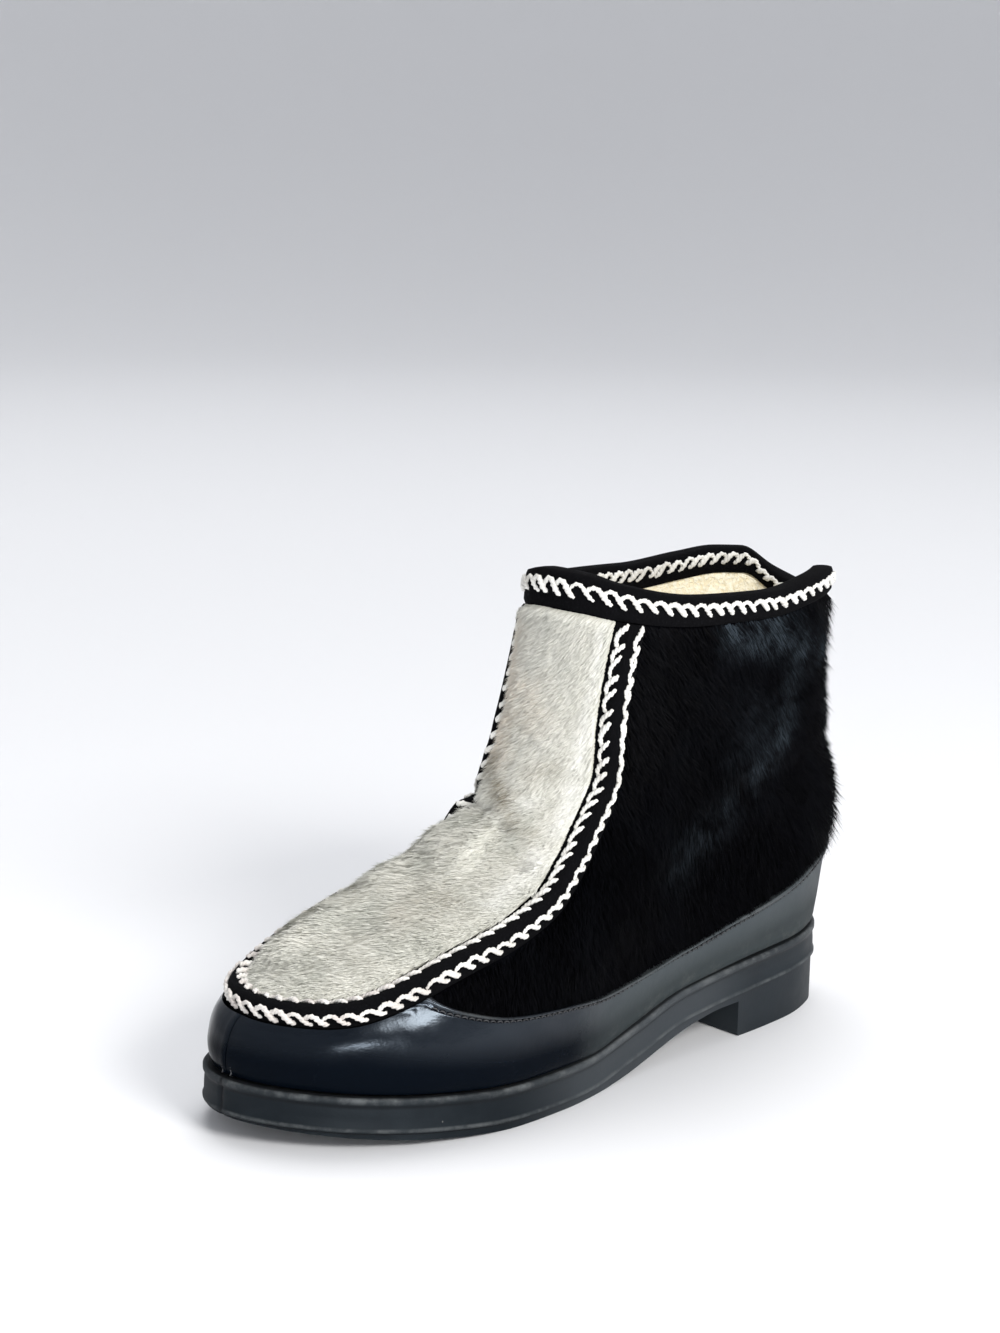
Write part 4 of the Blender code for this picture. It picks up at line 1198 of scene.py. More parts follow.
def fur_field(name, cells, height, nap, growth, coat, finish, **marks):
    """Fur over some cells of the grid, with marks that its finish reads.

    nap is the way the hairs lie, growth the share of their length that they
    reach, and coat one row of the coats at the top.
    """
    hairs, length, width, lift, stray, seed = coat
    used = np.zeros(TURN.shape, bool)
    rings = []
    for i, j in zip(*np.nonzero(cells)):
        n = (i + 1) % COLUMNS
        ring = ((i, j), (i, j + 1), (n, j + 1), (n, j))
        for key in ring:
            used[key] = True
        rings.append(ring)
    index = numbered(used)
    mesh = bpy.data.meshes.new(name)
    faces = [tuple(int(index[key]) for key in ring) for ring in rings]
    mesh.from_pydata((lifted(height)[used] - REST_SHIFT).tolist(), [], faces)
    mesh.update()
    source = placed(name + "_skin", mesh)
    facing = 0.0
    for face, ring in zip(mesh.polygons, rings):
        facing += float(np.dot(face.normal, NORMAL[ring[0]]))
    if facing < 0:
        mesh.flip_normals()
    layer = mesh.attributes.new("nap", "FLOAT_VECTOR", "POINT")
    layer.data.foreach_set("vector", nap[used].astype(np.float32).ravel())
    carry(source, growth=growth[used], **{key: value[used] for key, value in marks.items()})
    area = sum(face.area for face in mesh.polygons)
    return grown(source, FUR_TREE, name, **{
        "Hair": HAIR,
        "Hairs per square metre": hairs / area,
        "Length": length,
        "Width": width,
        "Lift": lift,
        "Ruffle": stray,
        "Clumps per metre": CLUMPS_PER_METRE,
        "Clumping": CLUMPING,
        "Seed": seed,
        "Finish": finish,
    })


# Which cells of the grid each piece covers.
CELL_NEAR = np.minimum(np.arange(COLUMNS), COLUMNS - 1 - np.arange(COLUMNS))[:, None]
CELL_ROW = np.arange(ROWS - 1)[None]
CELL_OUTER = (np.arange(COLUMNS) < HALF)[:, None]
ON_SIDE = CELL_NEAR < FIRST
ON_TAPE = (CELL_NEAR >= FIRST) & (CELL_NEAR < LAST)
IN_BAND = (ON_SIDE & (CELL_ROW < INNER_ROW)) | (~ON_SIDE & (CELL_ROW < TAPE_ROW))
IN_SHAFT = CELL_ROW < COLLAR_ROW
IS_TAPE = IN_SHAFT & ~IN_BAND & ~ON_SIDE & (ON_TAPE | (CELL_ROW < INNER_ROW))
IS_FRONT = IN_SHAFT & ~IN_BAND & ~ON_SIDE & ~IS_TAPE
IS_FUR = IN_SHAFT & ON_SIDE & ~IN_BAND

ALONG, UP = slopes(TURN, np.clip(RISE, 0.004, 0.996))
ALONG = unit(ALONG)
UP = unit(UP)


def edge_distance():
    """Distance down each side column from the leather band's top edge."""
    top = lifted(COVER)
    steps = np.linalg.norm(np.diff(top, axis=1), axis=-1)
    reach = np.concatenate((np.zeros((COLUMNS, 1)), np.cumsum(steps, axis=1)), axis=1)
    return reach[:, INNER_ROW:INNER_ROW + 1] - reach


def make_upper():
    """The hide of the boot and its fleece lining, one closed wall each."""
    everywhere = np.ones((COLUMNS, ROWS - 1), bool)
    half = -WALL * 0.5
    clear = 0.00003
    hide = grid_piece("fur_body", everywhere, half, 0.0, DARK_SKIN, trim=0.0, every=2)
    keep(hide, "dark_fur", "upper")
    pile = 0.00045 * ripple(SURFACE, 0.006, 8) + 0.00035 * ripple(SURFACE, 0.0032, 9)
    inner = -WALL - 0.0004 + pile * np.clip((1 - RISE) / 0.05, 0, 1)
    inner = np.where(RISE < 0.10, -WALL, inner)
    lining = grid_piece("fleece_lining", everywhere, inner, half - clear, FLEECE, trim=0.0)
    keep(lining, "fleece", "upper")


def make_band():
    """The leather round the foot, in two halves, with its folded top edge."""
    reach = edge_distance()
    near = NEAR[:, None]
    side = near <= FIRST
    fold = np.exp(-((reach - BAND_BEAD * 0.5) / (BAND_BEAD * 0.42)) ** 2)
    fold = np.where(side, fold, 0.0)
    groove = np.where(side, np.exp(-((reach - STITCH_DROP) / 0.0005) ** 2), 0.0)
    toe_gap = np.linalg.norm(SURFACE - SURFACE[HALF][None], axis=-1)
    heel_gap = np.linalg.norm(SURFACE - SURFACE[0][None], axis=-1)
    lap = np.exp(-((np.minimum(toe_gap, heel_gap) - 0.0012) / 0.0010) ** 2) * LAP_HIGH
    swell = 0.0003 * ripple(SURFACE, 0.03, 21)
    share = RISE / np.maximum(RISE[:, INNER_ROW:INNER_ROW + 1], 0.05)
    share = np.clip(share, 0, 1)
    toe = np.clip((SURFACE[..., 0] / SOLE_LENGTH - 0.62) / 0.2, 0, 1)
    swell = swell + TOE_SWELL * toe * np.sin(math.pi * share) ** 1.5
    high = GAP + COVER + BEAD_HIGH * fold - GROOVE_DEEP * groove + lap + swell
    above = SURFACE[..., 2] - sole_top(SURFACE[..., 0])
    dusty = np.clip(1 - above / 0.010, 0, 1)
    high = high - SOLE_TUCK * np.exp(-(above / 0.0012) ** 2)
    for name, half in (("outer", CELL_OUTER), ("inner", ~CELL_OUTER)):
        piece = grid_piece("leather_band_" + name + "_skin", IN_BAND & half, GAP, high,
                           LEATHER, fold=fold, dusty=dusty, crown=share)
        keep(piece, "band_leather", "leather_band_" + name)


# One hook of the yarn, from under the last hook to its own foot. Columns:
# along in pitches, across in swings, lift and thickness in yarn widths.
HOOK = np.array((
    (-0.10, -0.10, 0.10, 0.75),
    (0.04, 0.38, 0.45, 0.88),
    (0.20, 0.80, 0.75, 0.92),
    (0.42, 1.00, 0.90, 0.95),
    (0.64, 0.78, 1.05, 1.05),
    (0.82, 0.30, 1.20, 1.18),
    (1.00, -0.24, 1.20, 1.20),
    (1.17, -0.70, 1.00, 1.08),
    (1.32, -1.00, 0.55, 0.82),
    (1.42, -1.14, 0.00, 0.50),
))


def tape_profile(offset, fade):
    """Height of the seam tape at an offset from its middle, lower as it fades."""
    d = np.abs(offset)
    face = np.clip((TAPE_FOOT - d) / (TAPE_FOOT - TAPE_TOP), 0.0, 1.0)
    face = face - 0.10 * np.sin(2 * math.pi * face)
    crown = TAPE_CROWN * np.clip(1 - (d / TAPE_TOP) ** 2, 0, 1)
    lip = np.clip((TAPE_WIDTH * 0.5 - d) / 0.0006, 0.0, 1.0) ** 0.5
    high = TAPE_RISE - TAPE_DROP * fade
    return TAPE_LIP * (0.3 + 0.7 * lip) + (high - TAPE_LIP) * face + crown


def end_fade(rise):
    """Grows from 0 to 1 over the tape's last stretch below the collar."""
    stretch = 0.16
    return np.clip((rise - (COLLAR_RISE - stretch)) / stretch, 0, 1)


def make_braid(part, rows):
    """Rows of the hooked yarn, as one piece."""
    lines = [line for hooked in rows for line in plies(*hooked)]
    yarn = curves(part + "_yarn", lines)
    braid = grown(yarn, THREAD_TREE, part + "_braid", Sides=6, Finish=WHITE_YARN)
    keep(braid, "braid_tape")


def make_seam_tape():
    """The folded tape over the seam, and the yarn worked on both its faces."""
    column_offset = (NEAR[:, None] - FIRST) / TAPE_CELLS - 0.5
    row_offset = (np.arange(ROWS)[None] - TAPE_ROW) / TAPE_CELLS - 0.5
    offset = np.minimum(column_offset, np.maximum(row_offset, -0.5))
    offset = np.where(np.arange(ROWS)[None] > INNER_ROW, column_offset, offset) * TAPE_WIDTH
    high = GAP + tape_profile(offset, end_fade(RISE))
    last = np.clip((RISE - (COLLAR_RISE - 0.012)) / 0.012, 0, 1)
    high = high * (1 - last) + np.minimum(high, COLLAR_THICK + GAP) * last
    piece = grid_piece("seam_tape_cloth", IS_TAPE, GAP, high, TAPE)
    keep(piece, "braid_tape", "seam_tape")
    make_braid("seam", [seam_hooks(face) for face in (-1, 1)])


def hooks(count):
    """Along, across, lift and thickness of every hook's points."""
    knots = np.arange(len(HOOK), dtype=float)
    fine = np.linspace(0, len(HOOK) - 1, 15)
    shape = [cubic(fine, knots, ys, tangents_even(knots, ys)) for ys in HOOK.T]
    rng = np.random.default_rng(17)
    loose = 1 + 0.12 * rng.standard_normal((3, count, 1))
    shift = 0.06 * rng.standard_normal((count, 1))
    along = np.arange(count)[:, None] + shape[0][None] * (1 + 0.3 * (loose[0] - 1)) + shift
    across = shape[1][None] * np.clip(loose[1], 0.85, 1.15)
    thick = shape[3][None] * np.clip(loose[2], 0.85, 1.15)
    return along, across, np.broadcast_to(shape[2], along.shape), thick


def seam_hooks(face):
    """Middle lines, outward directions and thickness of the yarn on one face."""
    end = {side: PATHS[side].length_at(COLLAR_RISE) - 0.0010 for side in (1, -1)}
    total = end[1] + end[-1]
    count = int(total / BRAID_PITCH)
    along, across, lift, thick = hooks(count)
    along = (along + 0.15) * total / (count + 0.6) - end[-1]
    inside = (along.max(axis=1) < end[1] + TUCK) & (along.min(axis=1) > -end[-1] - TUCK)
    along, across, lift, thick = (v[inside] for v in (along, across, lift, thick))
    middle = face * (TAPE_FOOT + TAPE_TOP) / 2
    points = np.zeros(along.shape + (3,))
    outs = np.zeros(along.shape + (3,))
    for side in (1, -1):
        pick = (along >= 0) if side > 0 else (along < 0)
        length = np.abs(along[pick])
        _, level = PATHS[side].at(length)
        fade = end_fade(level)
        slope = np.arctan2(TAPE_RISE - TAPE_LIP - TAPE_DROP * fade, TAPE_FOOT - TAPE_TOP)
        offset = middle + across[pick] * BRAID_SWING * np.cos(slope)
        turn, rise = PATHS[side].beside(length, offset)
        spot = skin(turn, rise)
        normal = unit(outward(turn, rise))
        way = unit(skin(*PATHS[side].beside(length, offset + 0.0004)) - spot)
        near = 0.0003
        lean = tape_profile(offset + near, fade) - tape_profile(offset - near, fade)
        lean = lean / (2 * near)
        face_out = unit(normal - way * lean[:, None])
        height = tape_profile(offset, fade) - COVER
        sink = along_lines(FOLDS, spot)
        points[pick] = spot + normal * (height - sink)[:, None]
        points[pick] += face_out * (lift[pick] * PLY)[:, None]
        outs[pick] = face_out
    return points, outs, thick


def plies(points, outs, thick):
    """Two plies twisted round each middle line, with their thickness."""
    step = np.linalg.norm(np.diff(points, axis=1), axis=-1)
    reach = np.concatenate((np.zeros((len(points), 1)), np.cumsum(step, axis=1)), axis=1)
    way = unit(np.gradient(points, axis=1))
    across = unit(np.cross(way, outs))
    lines = []
    for phase in (0.0, math.pi):
        angle = (2 * math.pi * reach / PLY_TURN + phase)[..., None]
        swing = across * np.cos(angle) + outs * np.sin(angle) * 0.55
        moved = points + swing * (thick * PLY * 0.80)[..., None]
        lines += [(moved[k], thick[k] * PLY) for k in range(len(points))]
    return lines


def rim_edges(turn):
    """Outer and inner edge of the collar."""
    rise = np.ones_like(turn)
    normal = outward(turn, rise)
    outer = skin(turn, rise) - normal * (COVER + GAP)
    return outer, outer - normal * WALL


def make_collar_tape():
    """The tape folded over the collar, and the yarn on both its faces."""
    top = ROWS - 1
    outer = lifted(0.0)
    inner = lifted(-WALL)
    out = NORMAL[:, top].copy()
    out[:, 2] = 0
    out = unit(out)
    up = np.array((0.0, 0.0, 1.0))

    def ring(wall, away, k, crest=0.0):
        """One ring of the tape's points, off a wall at one row of the collar."""
        raised = {0: GAP * 0.5, COLLAR_ROWS: crest}.get(k, 0.0)
        j = COLLAR_ROW + k
        return wall[:, j] + NORMAL[:, j] * away + up * raised

    climbing = range(COLLAR_ROWS + 1)
    falling = range(COLLAR_ROWS, -1, -1)
    # Up the outside, over the fold, down the inside, and back along the wall.
    rings = []
    for k in climbing:
        edge = {0: 0.55, COLLAR_ROWS: 0.95}.get(k, 1.0)
        rings.append(ring(outer, GAP + COLLAR_THICK * edge, k))
    middle = (outer[:, top] + inner[:, top]) / 2 + up * GAP
    span = WALL / 2 + GAP + COLLAR_THICK * 0.95
    for angle in np.radians((30, 60, 90, 120, 150)):
        lift = COLLAR_THICK * 0.85 * math.sin(angle) ** 0.6
        rings.append(middle + out * (span * math.cos(angle)) + up * lift)
    for k in falling:
        edge = {0: 0.55}.get(k, 1.0)
        rings.append(ring(inner, -(GAP + COLLAR_THICK * edge * 0.9), k))
    rings += [ring(inner, -GAP, k, GAP) for k in climbing]
    rings += [ring(outer, GAP, k, GAP) for k in falling]
    count = len(rings)
    points = np.stack(rings, axis=1).reshape(-1, 3)
    faces = []
    for i in range(COLUMNS):
        n = (i + 1) % COLUMNS
        for k in range(count):
            m = (k + 1) % count
            faces.append((i * count + k, n * count + k, n * count + m, i * count + m))
    piece = new_mesh("collar_tape_cloth", points, faces, TAPE, sharp=60)
    keep(piece, "braid_tape", "collar_tape")
    make_braid("collar", [collar_hooks(inside) for inside in (False, True)])


def collar_hooks(inside):
    """Middle lines, outward directions and thickness of the collar's yarn."""
    fine = np.linspace(0.0, 2.0, 721)
    outer, inner = rim_edges(fine)
    loop = inner if inside else outer
    steps = np.linalg.norm(np.diff(loop, axis=0), axis=1)
    reach = np.concatenate(((0.0,), np.cumsum(steps)))
    count = int(round(reach[-1] / (BRAID_PITCH * (0.92 if inside else 1.0))))
    along, across, lift, thick = hooks(count)
    along = reach[-1] - (along / count * reach[-1]) % reach[-1]
    turn = np.interp(along, reach, fine)
    drop = COLLAR_YARN - across * BRAID_SWING * 1.12
    rise = 1.0 - (1 - COLLAR_RISE) * drop / COLLAR_TAPE
    normal = unit(outward(turn, np.minimum(rise, 0.998)))
    away = COVER + 2 * GAP + WALL + COLLAR_THICK * 0.9 if inside else COLLAR_THICK - COVER
    outs = -normal if inside else normal
    spot = skin(turn, np.minimum(rise, 1.0))
    spot[..., 2] += np.maximum(rise - 1.0, 0.0) / (1 - COLLAR_RISE) * COLLAR_TAPE
    # Hooks that reach over the collar's edge follow its roundness.
    edge, fall = 0.002, 0.0008
    over = np.clip((rise - 1.0) / (1 - COLLAR_RISE) * COLLAR_TAPE / edge, 0, 1)
    over = over ** 2 * fall
    points = spot + outs * (away - over + lift * PLY)[..., None]
    return points, outs, thick


def make_front():
    """The pale front piece and its fur."""
    high = GAP + COVER * 0.75
    piece = grid_piece("front_hide", IS_FRONT, GAP, high, PALE_SKIN)
    keep(piece, "pale_fur", "front_panel")
    shaft = np.clip((RISE - 0.60) / 0.15, 0.0, 1.0)[..., None]
    swirl = 0.20 * ripple(SURFACE, 0.022, 41) + 0.12 * ripple(SURFACE, 0.009, 42)
    slant = unit(-UP + ALONG * (0.75 * shaft + 0.25 * (1 - shaft) + swirl[..., None]))
    growth = 1 - 0.35 * np.clip((0.40 - RISE) / 0.15, 0, 1)
    growth = growth + along_lines(LONG_FUR, SURFACE)
    # Marks for the finish: a painted highlight, beige, and brown stain with painted crease
    # shade.
    marks = {"lit": LIT_FUR, "beige": BEIGE_FUR, "crease_stain_and_shade": CREASE_STAIN_AND_SHADE_FUR}
    for key, table in marks.items():
        marks[key] = np.clip(along_lines(table, SURFACE), 0, 0.9)
    for k, coat in enumerate(PALE_COATS):
        fur = fur_field("pale_fur_%d" % (k + 1), IS_FRONT, high, slant, growth, coat,
                        PALE_HAIR_FINISH, **marks)
        keep(fur, "pale_fur")


def make_dark_fur():
    """The black fur of both sides, longer in a tuft at the heel and up the back."""
    rear = np.clip(1 - NEAR[:, None] / FIRST, 0, 1)
    toward_heel = np.where(np.arange(COLUMNS)[:, None, None] <= HALF, -ALONG, ALONG)
    swirl = 0.22 * ripple(SURFACE, 0.030, 43) + 0.16 * ripple(SURFACE, 0.011, 44)
    lean = 0.35 + 0.25 * (1 - rear[..., None]) + swirl[..., None]
    slant = unit(-UP + toward_heel * lean)
    tuft = 0.95 * np.exp(-((RISE - 0.38) / 0.085) ** 2) * np.clip(rear * 1.6 - 0.5, 0, 1)
    back = 0.35 * rear * np.clip((RISE - 0.72) / 0.15, 0, 1)
    above = np.clip(-edge_distance() / 0.008, 0, 1)
    growth = (0.5 + 0.5 * above) * (1 + tuft + back)
    # Where the painted sheen, a cool highlight, lies on the black fur.
    sheen = np.clip(along_lines(PAINTED_SHEEN_FUR, SURFACE), 0, 0.95)
    for name, half in (("outer", CELL_OUTER), ("inner", ~CELL_OUTER)):
        fur = fur_field("dark_fur_" + name, IS_FUR & half, 0.0, slant, growth,
                        DARK_COATS[name], DARK_HAIR_FINISH, sheen=sheen)
        keep(fur, "dark_fur")


def stitch_shape():
    """One stitch along X, a short thread bowed out of the leather."""
    rings, ring = 5, 6
    points = []
    for k in range(rings):
        x = STITCH_LONG * (k / 4 - 0.5)
        bow = STITCH_THICK * (0.9 - 1.5 * (2 * k / 4 - 1) ** 2)
        for a in np.linspace(0, 2 * math.pi, ring, endpoint=False):
            points.append((x, STITCH_THICK * math.cos(a), bow + STITCH_THICK * math.sin(a)))
    faces = ring_faces(rings, ring)
    faces.append(tuple(range(ring - 1, -1, -1)))
    faces.append(tuple(range((rings - 1) * ring, rings * ring)))
    mesh = bpy.data.meshes.new("stitch")
    mesh.from_pydata(points, [], faces)
    mesh.shade_smooth()
    return placed("stitch", mesh)


def make_stitches():
    """Black stitches along the leather's folded edge and its toe and heel seams."""
    aside = 0.0021
    reach = edge_distance()
    top = lifted(GAP + COVER + 0.0002)
    lines = []
    for columns in (range(2, FIRST - 1), range(COLUMNS - 2, COLUMNS - FIRST + 1, -1)):
        points = []
        for i in columns:
            depth = reach[i, :INNER_ROW + 1][::-1]
            heights = top[i, :INNER_ROW + 1][::-1]
            points.append([np.interp(STITCH_DROP, depth, heights[:, k]) for k in range(3)])
        lines.append((np.array(points), 1.0))
    for middle, last_row in ((HALF, TAPE_ROW), (0, INNER_ROW)):
        for side in (-1, 1):
            points = []
            for j in range(1, last_row - 1):
                here = top[middle, j]
                beside = top[(middle + side * 2) % COLUMNS, j]
                points.append(here + unit(beside - here) * aside)
            lines.append((np.array(points), 1.0))
    stitch = stitch_shape()
    made = grown(curves("stitch_lines", lines), STITCH_TREE, "band_stitches",
                 Stitch=stitch, Spacing=STITCH_STEP, Finish=THREAD)
    keep(made, "band_leather")
    bpy.data.objects.remove(stitch, do_unlink=True)


def make_sole():
    """The moulded sole with its bead, lines, arch and heel, and a guessed tread."""
    count = 150
    share = 0.5 - 0.5 * np.cos(np.pi * np.linspace(0, 1, count + 1))
    shares = np.concatenate((share, share[-2:0:-1]))
    sides = np.concatenate((np.ones(count + 1), -np.ones(count - 1)))
    plan = np.stack((
        SOLE_LENGTH * shares,
        sides * outline_half(shares, sides) + toe_shift(shares),
    ), axis=1)
    along = np.roll(plan, -1, axis=0) - np.roll(plan, 1, axis=0)
    out = unit(np.stack((-along[:, 1], along[:, 0]), axis=1))
    if out[count // 2, 1] < 0:
        out = -out
    # The mould's seam at the very toe.
    seam_wide, seam_deep = 0.0004, 0.0006
    at_toe = np.abs(plan[:, 1] + TOE_TURN) < 0.0012
    seam = np.exp(-((plan[:, 0] - SOLE_LENGTH) / seam_wide) ** 2) * at_toe
    step = SOLE_STEP
    # Columns: inset, drop below the top edge, how pale (partly rubbed, partly a
    # painted highlight), and how dark (painted shade in the grooves).
    rows = [
        (step * 1.6, 0.0, 0.2, 0.6),
        (step * 0.9, 0.0, 0.7, 0.0),
        (step * 0.35, step * 0.25, 1.0, 0.0),
        (0.0, step * 0.8, 0.9, 0.0),
        (0.0, SOLE_BEAD * 0.7, 0.35, 0.0),
        (step * 0.35, SOLE_BEAD * 0.95, 0.0, 0.3),
        (step * 0.85, SOLE_BEAD + step * 0.5, 0.0, 0.5),
        (step * 0.70, SOLE_BEAD + step * 1.4, 0.0, 0.0),
        (step * 0.45, SIDE_BAND * 0.6, 0.0, 0.0),
        (step * 0.40, SIDE_BAND - step * 0.9, 0.0, 0.0),
        (step * 0.05, SIDE_BAND - step * 0.35, 0.55, 0.0),
        (-step * 0.2, SIDE_BAND + step * 0.1, 0.65, 0.0),
        (-step * 0.1, SIDE_BAND + step * 0.8, 0.25, 0.0),
        (step * 0.9, SIDE_BAND + step * 1.3, 0.0, 0.8),
        (step * 1.0, SIDE_BAND + step * 2.0, 0.0, 0.1),
        (step * 1.0, None, 0.0, 0.0),
    ]
    points, worn, shade_and_seam = [], [], []
    for inset, drop, rub_and_highlight, shade in rows:
        place = plan - out * (inset + seam * seam_deep)[:, None]
        top = sole_top(place[:, 0]) - SEAT
        z = np.full(len(place), -0.003) if drop is None else top - drop
        points.append(np.column_stack((place, z)))
        worn.append(np.full(len(place), rub_and_highlight))
        # Painted groove shade, and the mould seam's dark line.
        shade_and_seam.append(np.maximum(shade, seam))
    points = np.concatenate(points)
    ring = len(plan)
    faces = ring_faces(len(rows), ring)
    for base in (0, (len(rows) - 1) * ring):
        for k in range(count):
            a, b = k, k + 1
            c, d = (ring - k - 1) % ring, (ring - k) % ring
            if k == 0:
                faces.append((base + a, base + b, base + c))
            elif k == count - 1:
                faces.append((base + a, base + b, base + d))
            else:
                faces.append((base + a, base + b, base + c, base + d))
    sole = new_mesh("sole_rubber_body", points, faces, RUBBER)
    carry(sole, worn=np.concatenate(worn), groove=np.concatenate(shade_and_seam))
    cut_with(sole, under_space())
    cut_with(sole, tread_grooves())
    sole.data.set_sharp_from_angle(angle=math.radians(48))
    keep(sole, "sole_rubber", "outsole")


def cut_with(piece, cutter):
    """Cuts a piece and leaves a plain mesh."""
    work = piece.modifiers.new("Cut", "BOOLEAN")
    work.operation = "DIFFERENCE"
    work.solver = "EXACT"
    work.object = cutter
    mesh = worked_mesh(piece)
    piece.modifiers.remove(work)
    piece.data = mesh
    bpy.data.objects.remove(cutter, do_unlink=True)


# How the underside's table is spread over the length in front of the heel.
UNDER_START = SOLE_UNDER[0, 0]
UNDER_STRETCH = (SOLE_LENGTH - HEEL_BLOCK) / (1 - UNDER_START)


def under_height(share):
    """Height of the sole's underside in front of the heel block."""
    heights = SOLE_UNDER[:, 1] * ARCH_RISE + SOLE_UNDER[:, 2] * TOE_SPRING
    return cubic(share, SOLE_UNDER[:, 0], heights, tangents_tame(SOLE_UNDER[:, 0], heights))


def under_space():
    """The space under the sole."""
    rim = 0.0004
    below = -0.02
    fine = np.linspace(UNDER_START, 1.0, 60)
    profile = [(below, below), (below, 0.0)]
    profile += [(HEEL_BLOCK - rim, 0.0), (HEEL_BLOCK + rim, 0.0006)]
    for share, z in zip(fine, under_height(fine)):
        profile.append((HEEL_BLOCK + (share - UNDER_START) * UNDER_STRETCH + rim, z))
    profile += [(SOLE_LENGTH * 1.06, TOE_SPRING * 1.6), (SOLE_LENGTH * 1.06, below)]
    count = len(profile)
    points = [(x, side * BALL_WIDTH, z) for side in (-1, 1) for x, z in profile]
    faces = [tuple(range(count)), tuple(range(count, 2 * count))] + ring_faces(2, count)
    return new_mesh("under_space", points, faces, None)


def tread_grooves():
    """Shallow bars across the heel and the forefoot, clear of the sole's edge."""
    points, faces = [], []
    heel = np.arange(0.010, 0.060, TREAD_STEP)
    ball = np.arange(0.150, 0.262, TREAD_STEP)
    for x in (*heel, *ball):
        share = np.array(x / SOLE_LENGTH)
        shift = float(toe_shift(share))
        left = float(outline_half(share, 1)) + shift - TREAD_MARGIN
        right = -float(outline_half(share, -1)) + shift + TREAD_MARGIN
        if left - right < 0.008:
            continue
        floor = 0.0
        if x > HEEL_BLOCK:
            place = UNDER_START + (x - HEEL_BLOCK) / UNDER_STRETCH
            floor = float(under_height(np.array(place)))
        deep = floor + TREAD_DEPTH
        below = -0.02
        first = len(points)
        for dx, z in ((-0.0014, below), (0.0014, below), (0.0010, deep), (-0.0010, deep)):
            points.append((x + dx, right, z))
            points.append((x + dx, left, z))
        for k in range(first, first + 8, 2):
            n = first + (k - first + 2) % 8
            faces.append((k, n, n + 1, k + 1))
        faces.append(tuple(first + 2 * k for k in range(4)))
        faces.append(tuple(first + 2 * k + 1 for k in range(4)))
    return new_mesh("tread_grooves", points, faces, None)


def make_insole():
    """The insole keeps its solid and gets the fleece."""
    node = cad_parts["insole"]
    node.data.materials.clear()
    node.data.materials.append(FLEECE)


# The camera, at the photograph's angle and height: degrees, metres, and the
# focus in picture points.
CAMERA_TURN = 46.69
CAMERA_LIFT = 12.48
CAMERA_ROLL = 1.22
CAMERA_AWAY = 1.0079
CAMERA_FOCUS = 2800.0
PICTURE_HEIGHT = 1333.0
SENSOR = 36.0
LOOK_AT = (0.137 - REST, -0.027, 0.1396)


def make_camera():
    """The photograph's camera."""
    turn, lift, roll = (math.radians(v) for v in (CAMERA_TURN, CAMERA_LIFT, CAMERA_ROLL))
    flat = math.cos(lift)
    back = Vector((flat * math.cos(turn), flat * math.sin(turn), math.sin(lift)))
    right = Vector((0, 0, 1)).cross(back).normalized()
    up = back.cross(right)
    side = right * math.cos(roll) + up * math.sin(roll)
    top = up * math.cos(roll) - right * math.sin(roll)
    data = bpy.data.cameras.new("camera")
    data.sensor_fit = "AUTO"
    data.sensor_width = SENSOR
    data.lens = SENSOR * CAMERA_FOCUS / PICTURE_HEIGHT
    data.clip_start = 0.01
    camera = placed("camera", data)
    spot = Vector(LOOK_AT) + back * CAMERA_AWAY
    turned = Matrix((side, top, back)).transposed().to_4x4()
    camera.matrix_world = Matrix.Translation(spot) @ turned
    bpy.context.scene.camera = camera


def area_light(name, spot, aim, size, power, colour):
    """A flat light at a spot, aimed at another."""
    data = bpy.data.lights.new(name, "AREA")
    data.shape = "RECTANGLE"
    data.size, data.size_y = size
    data.energy = power
    data.color = colour
    light = placed(name, data)
    light.location = spot
    light.rotation_euler = (Vector(aim) - Vector(spot)).to_track_quat("-Z", "Y").to_euler()


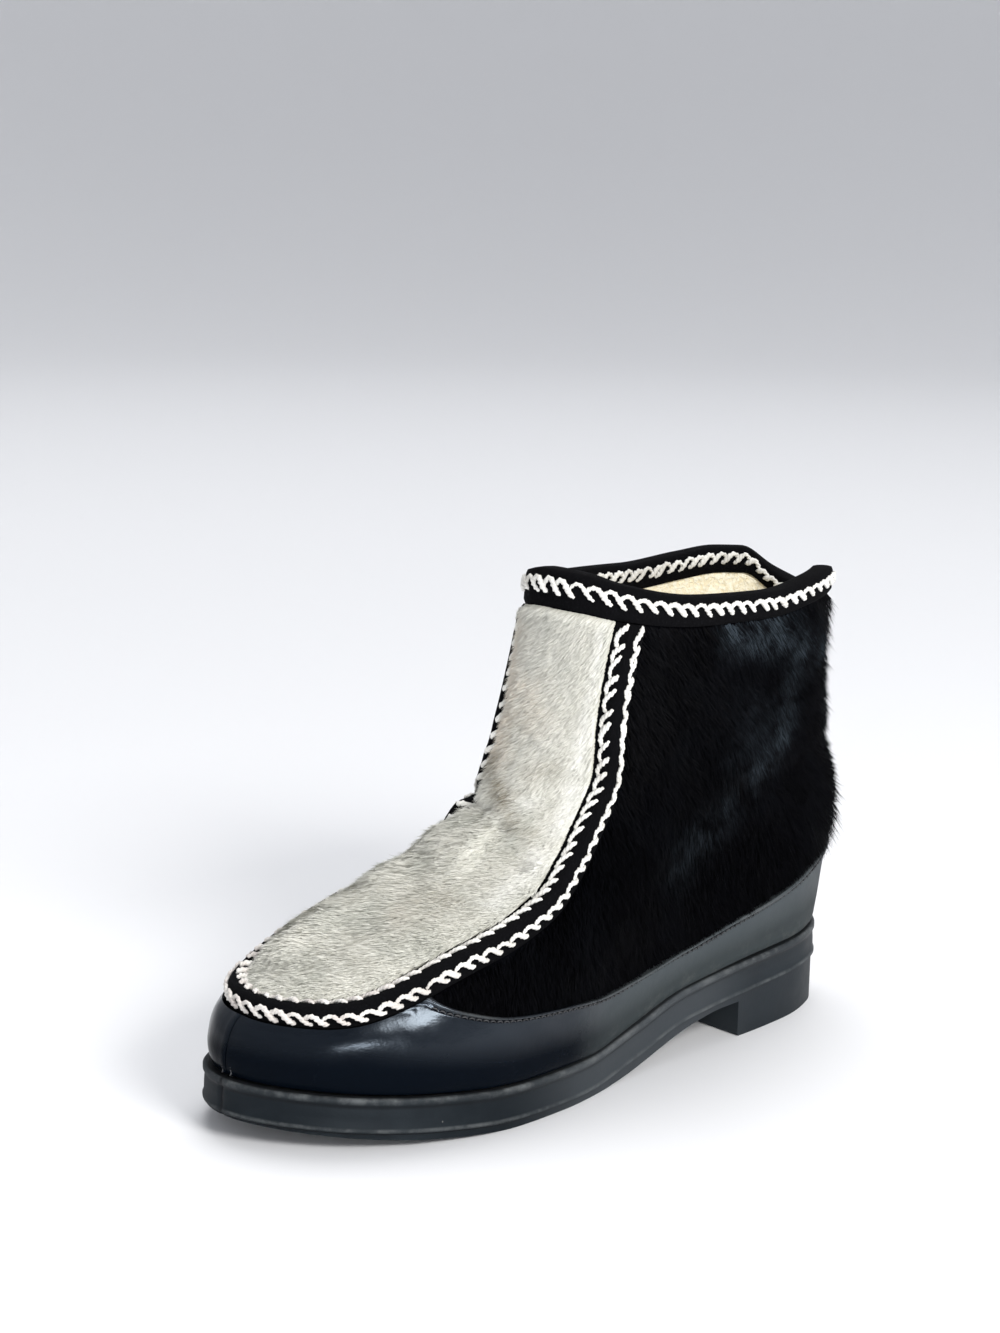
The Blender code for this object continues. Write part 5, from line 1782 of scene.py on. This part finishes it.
def make_floor():
    """A pale round floor that curves up at its edge."""
    flat, curve = 2.2, 1.2
    rows = [(0.6, 0.0), (1.4, 0.0), (flat, 0.0)]
    for angle in np.linspace(0.1, math.pi / 2, 15):
        rows.append((flat + curve * math.sin(angle), curve - curve * math.cos(angle)))
    rows += [(3.4, 1.8), (3.4, 2.4)]
    points, faces = [(0.0, 0.0, 0.0)], []
    turns = 96
    for reach, height in rows:
        for k in range(turns):
            angle = 2 * math.pi * k / turns
            points.append((reach * math.cos(angle), reach * math.sin(angle), height))
    for k in range(turns):
        n = (k + 1) % turns
        faces.append((0, 1 + k, 1 + n))
        for a in range(1, (len(rows) - 1) * turns, turns):
            faces.append((a + k, a + turns + k, a + turns + n, a + n))
    mesh = bpy.data.meshes.new("floor")
    mesh.from_pydata(points, [], faces)
    mesh.shade_smooth()
    f = Finish("pale_floor")
    mesh.materials.append(f.done((0.74, 0.745, 0.76), 0.9, Specular_IOR_Level=0.1))
    placed("floor", mesh)


def make_light():
    """A pale sky with a soft sun, and two studio lights."""
    scene = bpy.context.scene
    world = bpy.data.worlds.new("studio")
    scene.world = world
    world.use_nodes = True
    sky = world.node_tree.nodes["Background"]
    sky.inputs["Color"].default_value = (0.93, 0.95, 1.0, 1.0)
    sky.inputs["Strength"].default_value = 0.50
    sun = bpy.data.lights.new("sky_light", "SUN")
    sun.energy = 1.9
    sun.angle = math.radians(40)
    lamp = placed("sky_light", sun)
    lamp.rotation_euler = (math.radians(16), math.radians(-20), 0.0)
    area_light("window", (0.20, 1.30, 0.95), (0.08, 0.0, 0.06), (0.66, 0.44), 21.5,
               (1.0, 0.985, 0.96))
    area_light("strip", (0.89, 1.08, 0.105), (0.18, 0.02, 0.04), (0.46, 0.09), 8.0,
               (0.97, 0.985, 1.0))
    scene.view_settings.view_transform = "Standard"
    scene.view_settings.look = "None"


make_camera()
make_floor()
make_light()
make_sole()
make_insole()
make_upper()
make_band()
make_stitches()
make_seam_tape()
make_collar_tape()
make_front()
make_dark_fur()
bpy.data.objects.remove(HAIR, do_unlink=True)
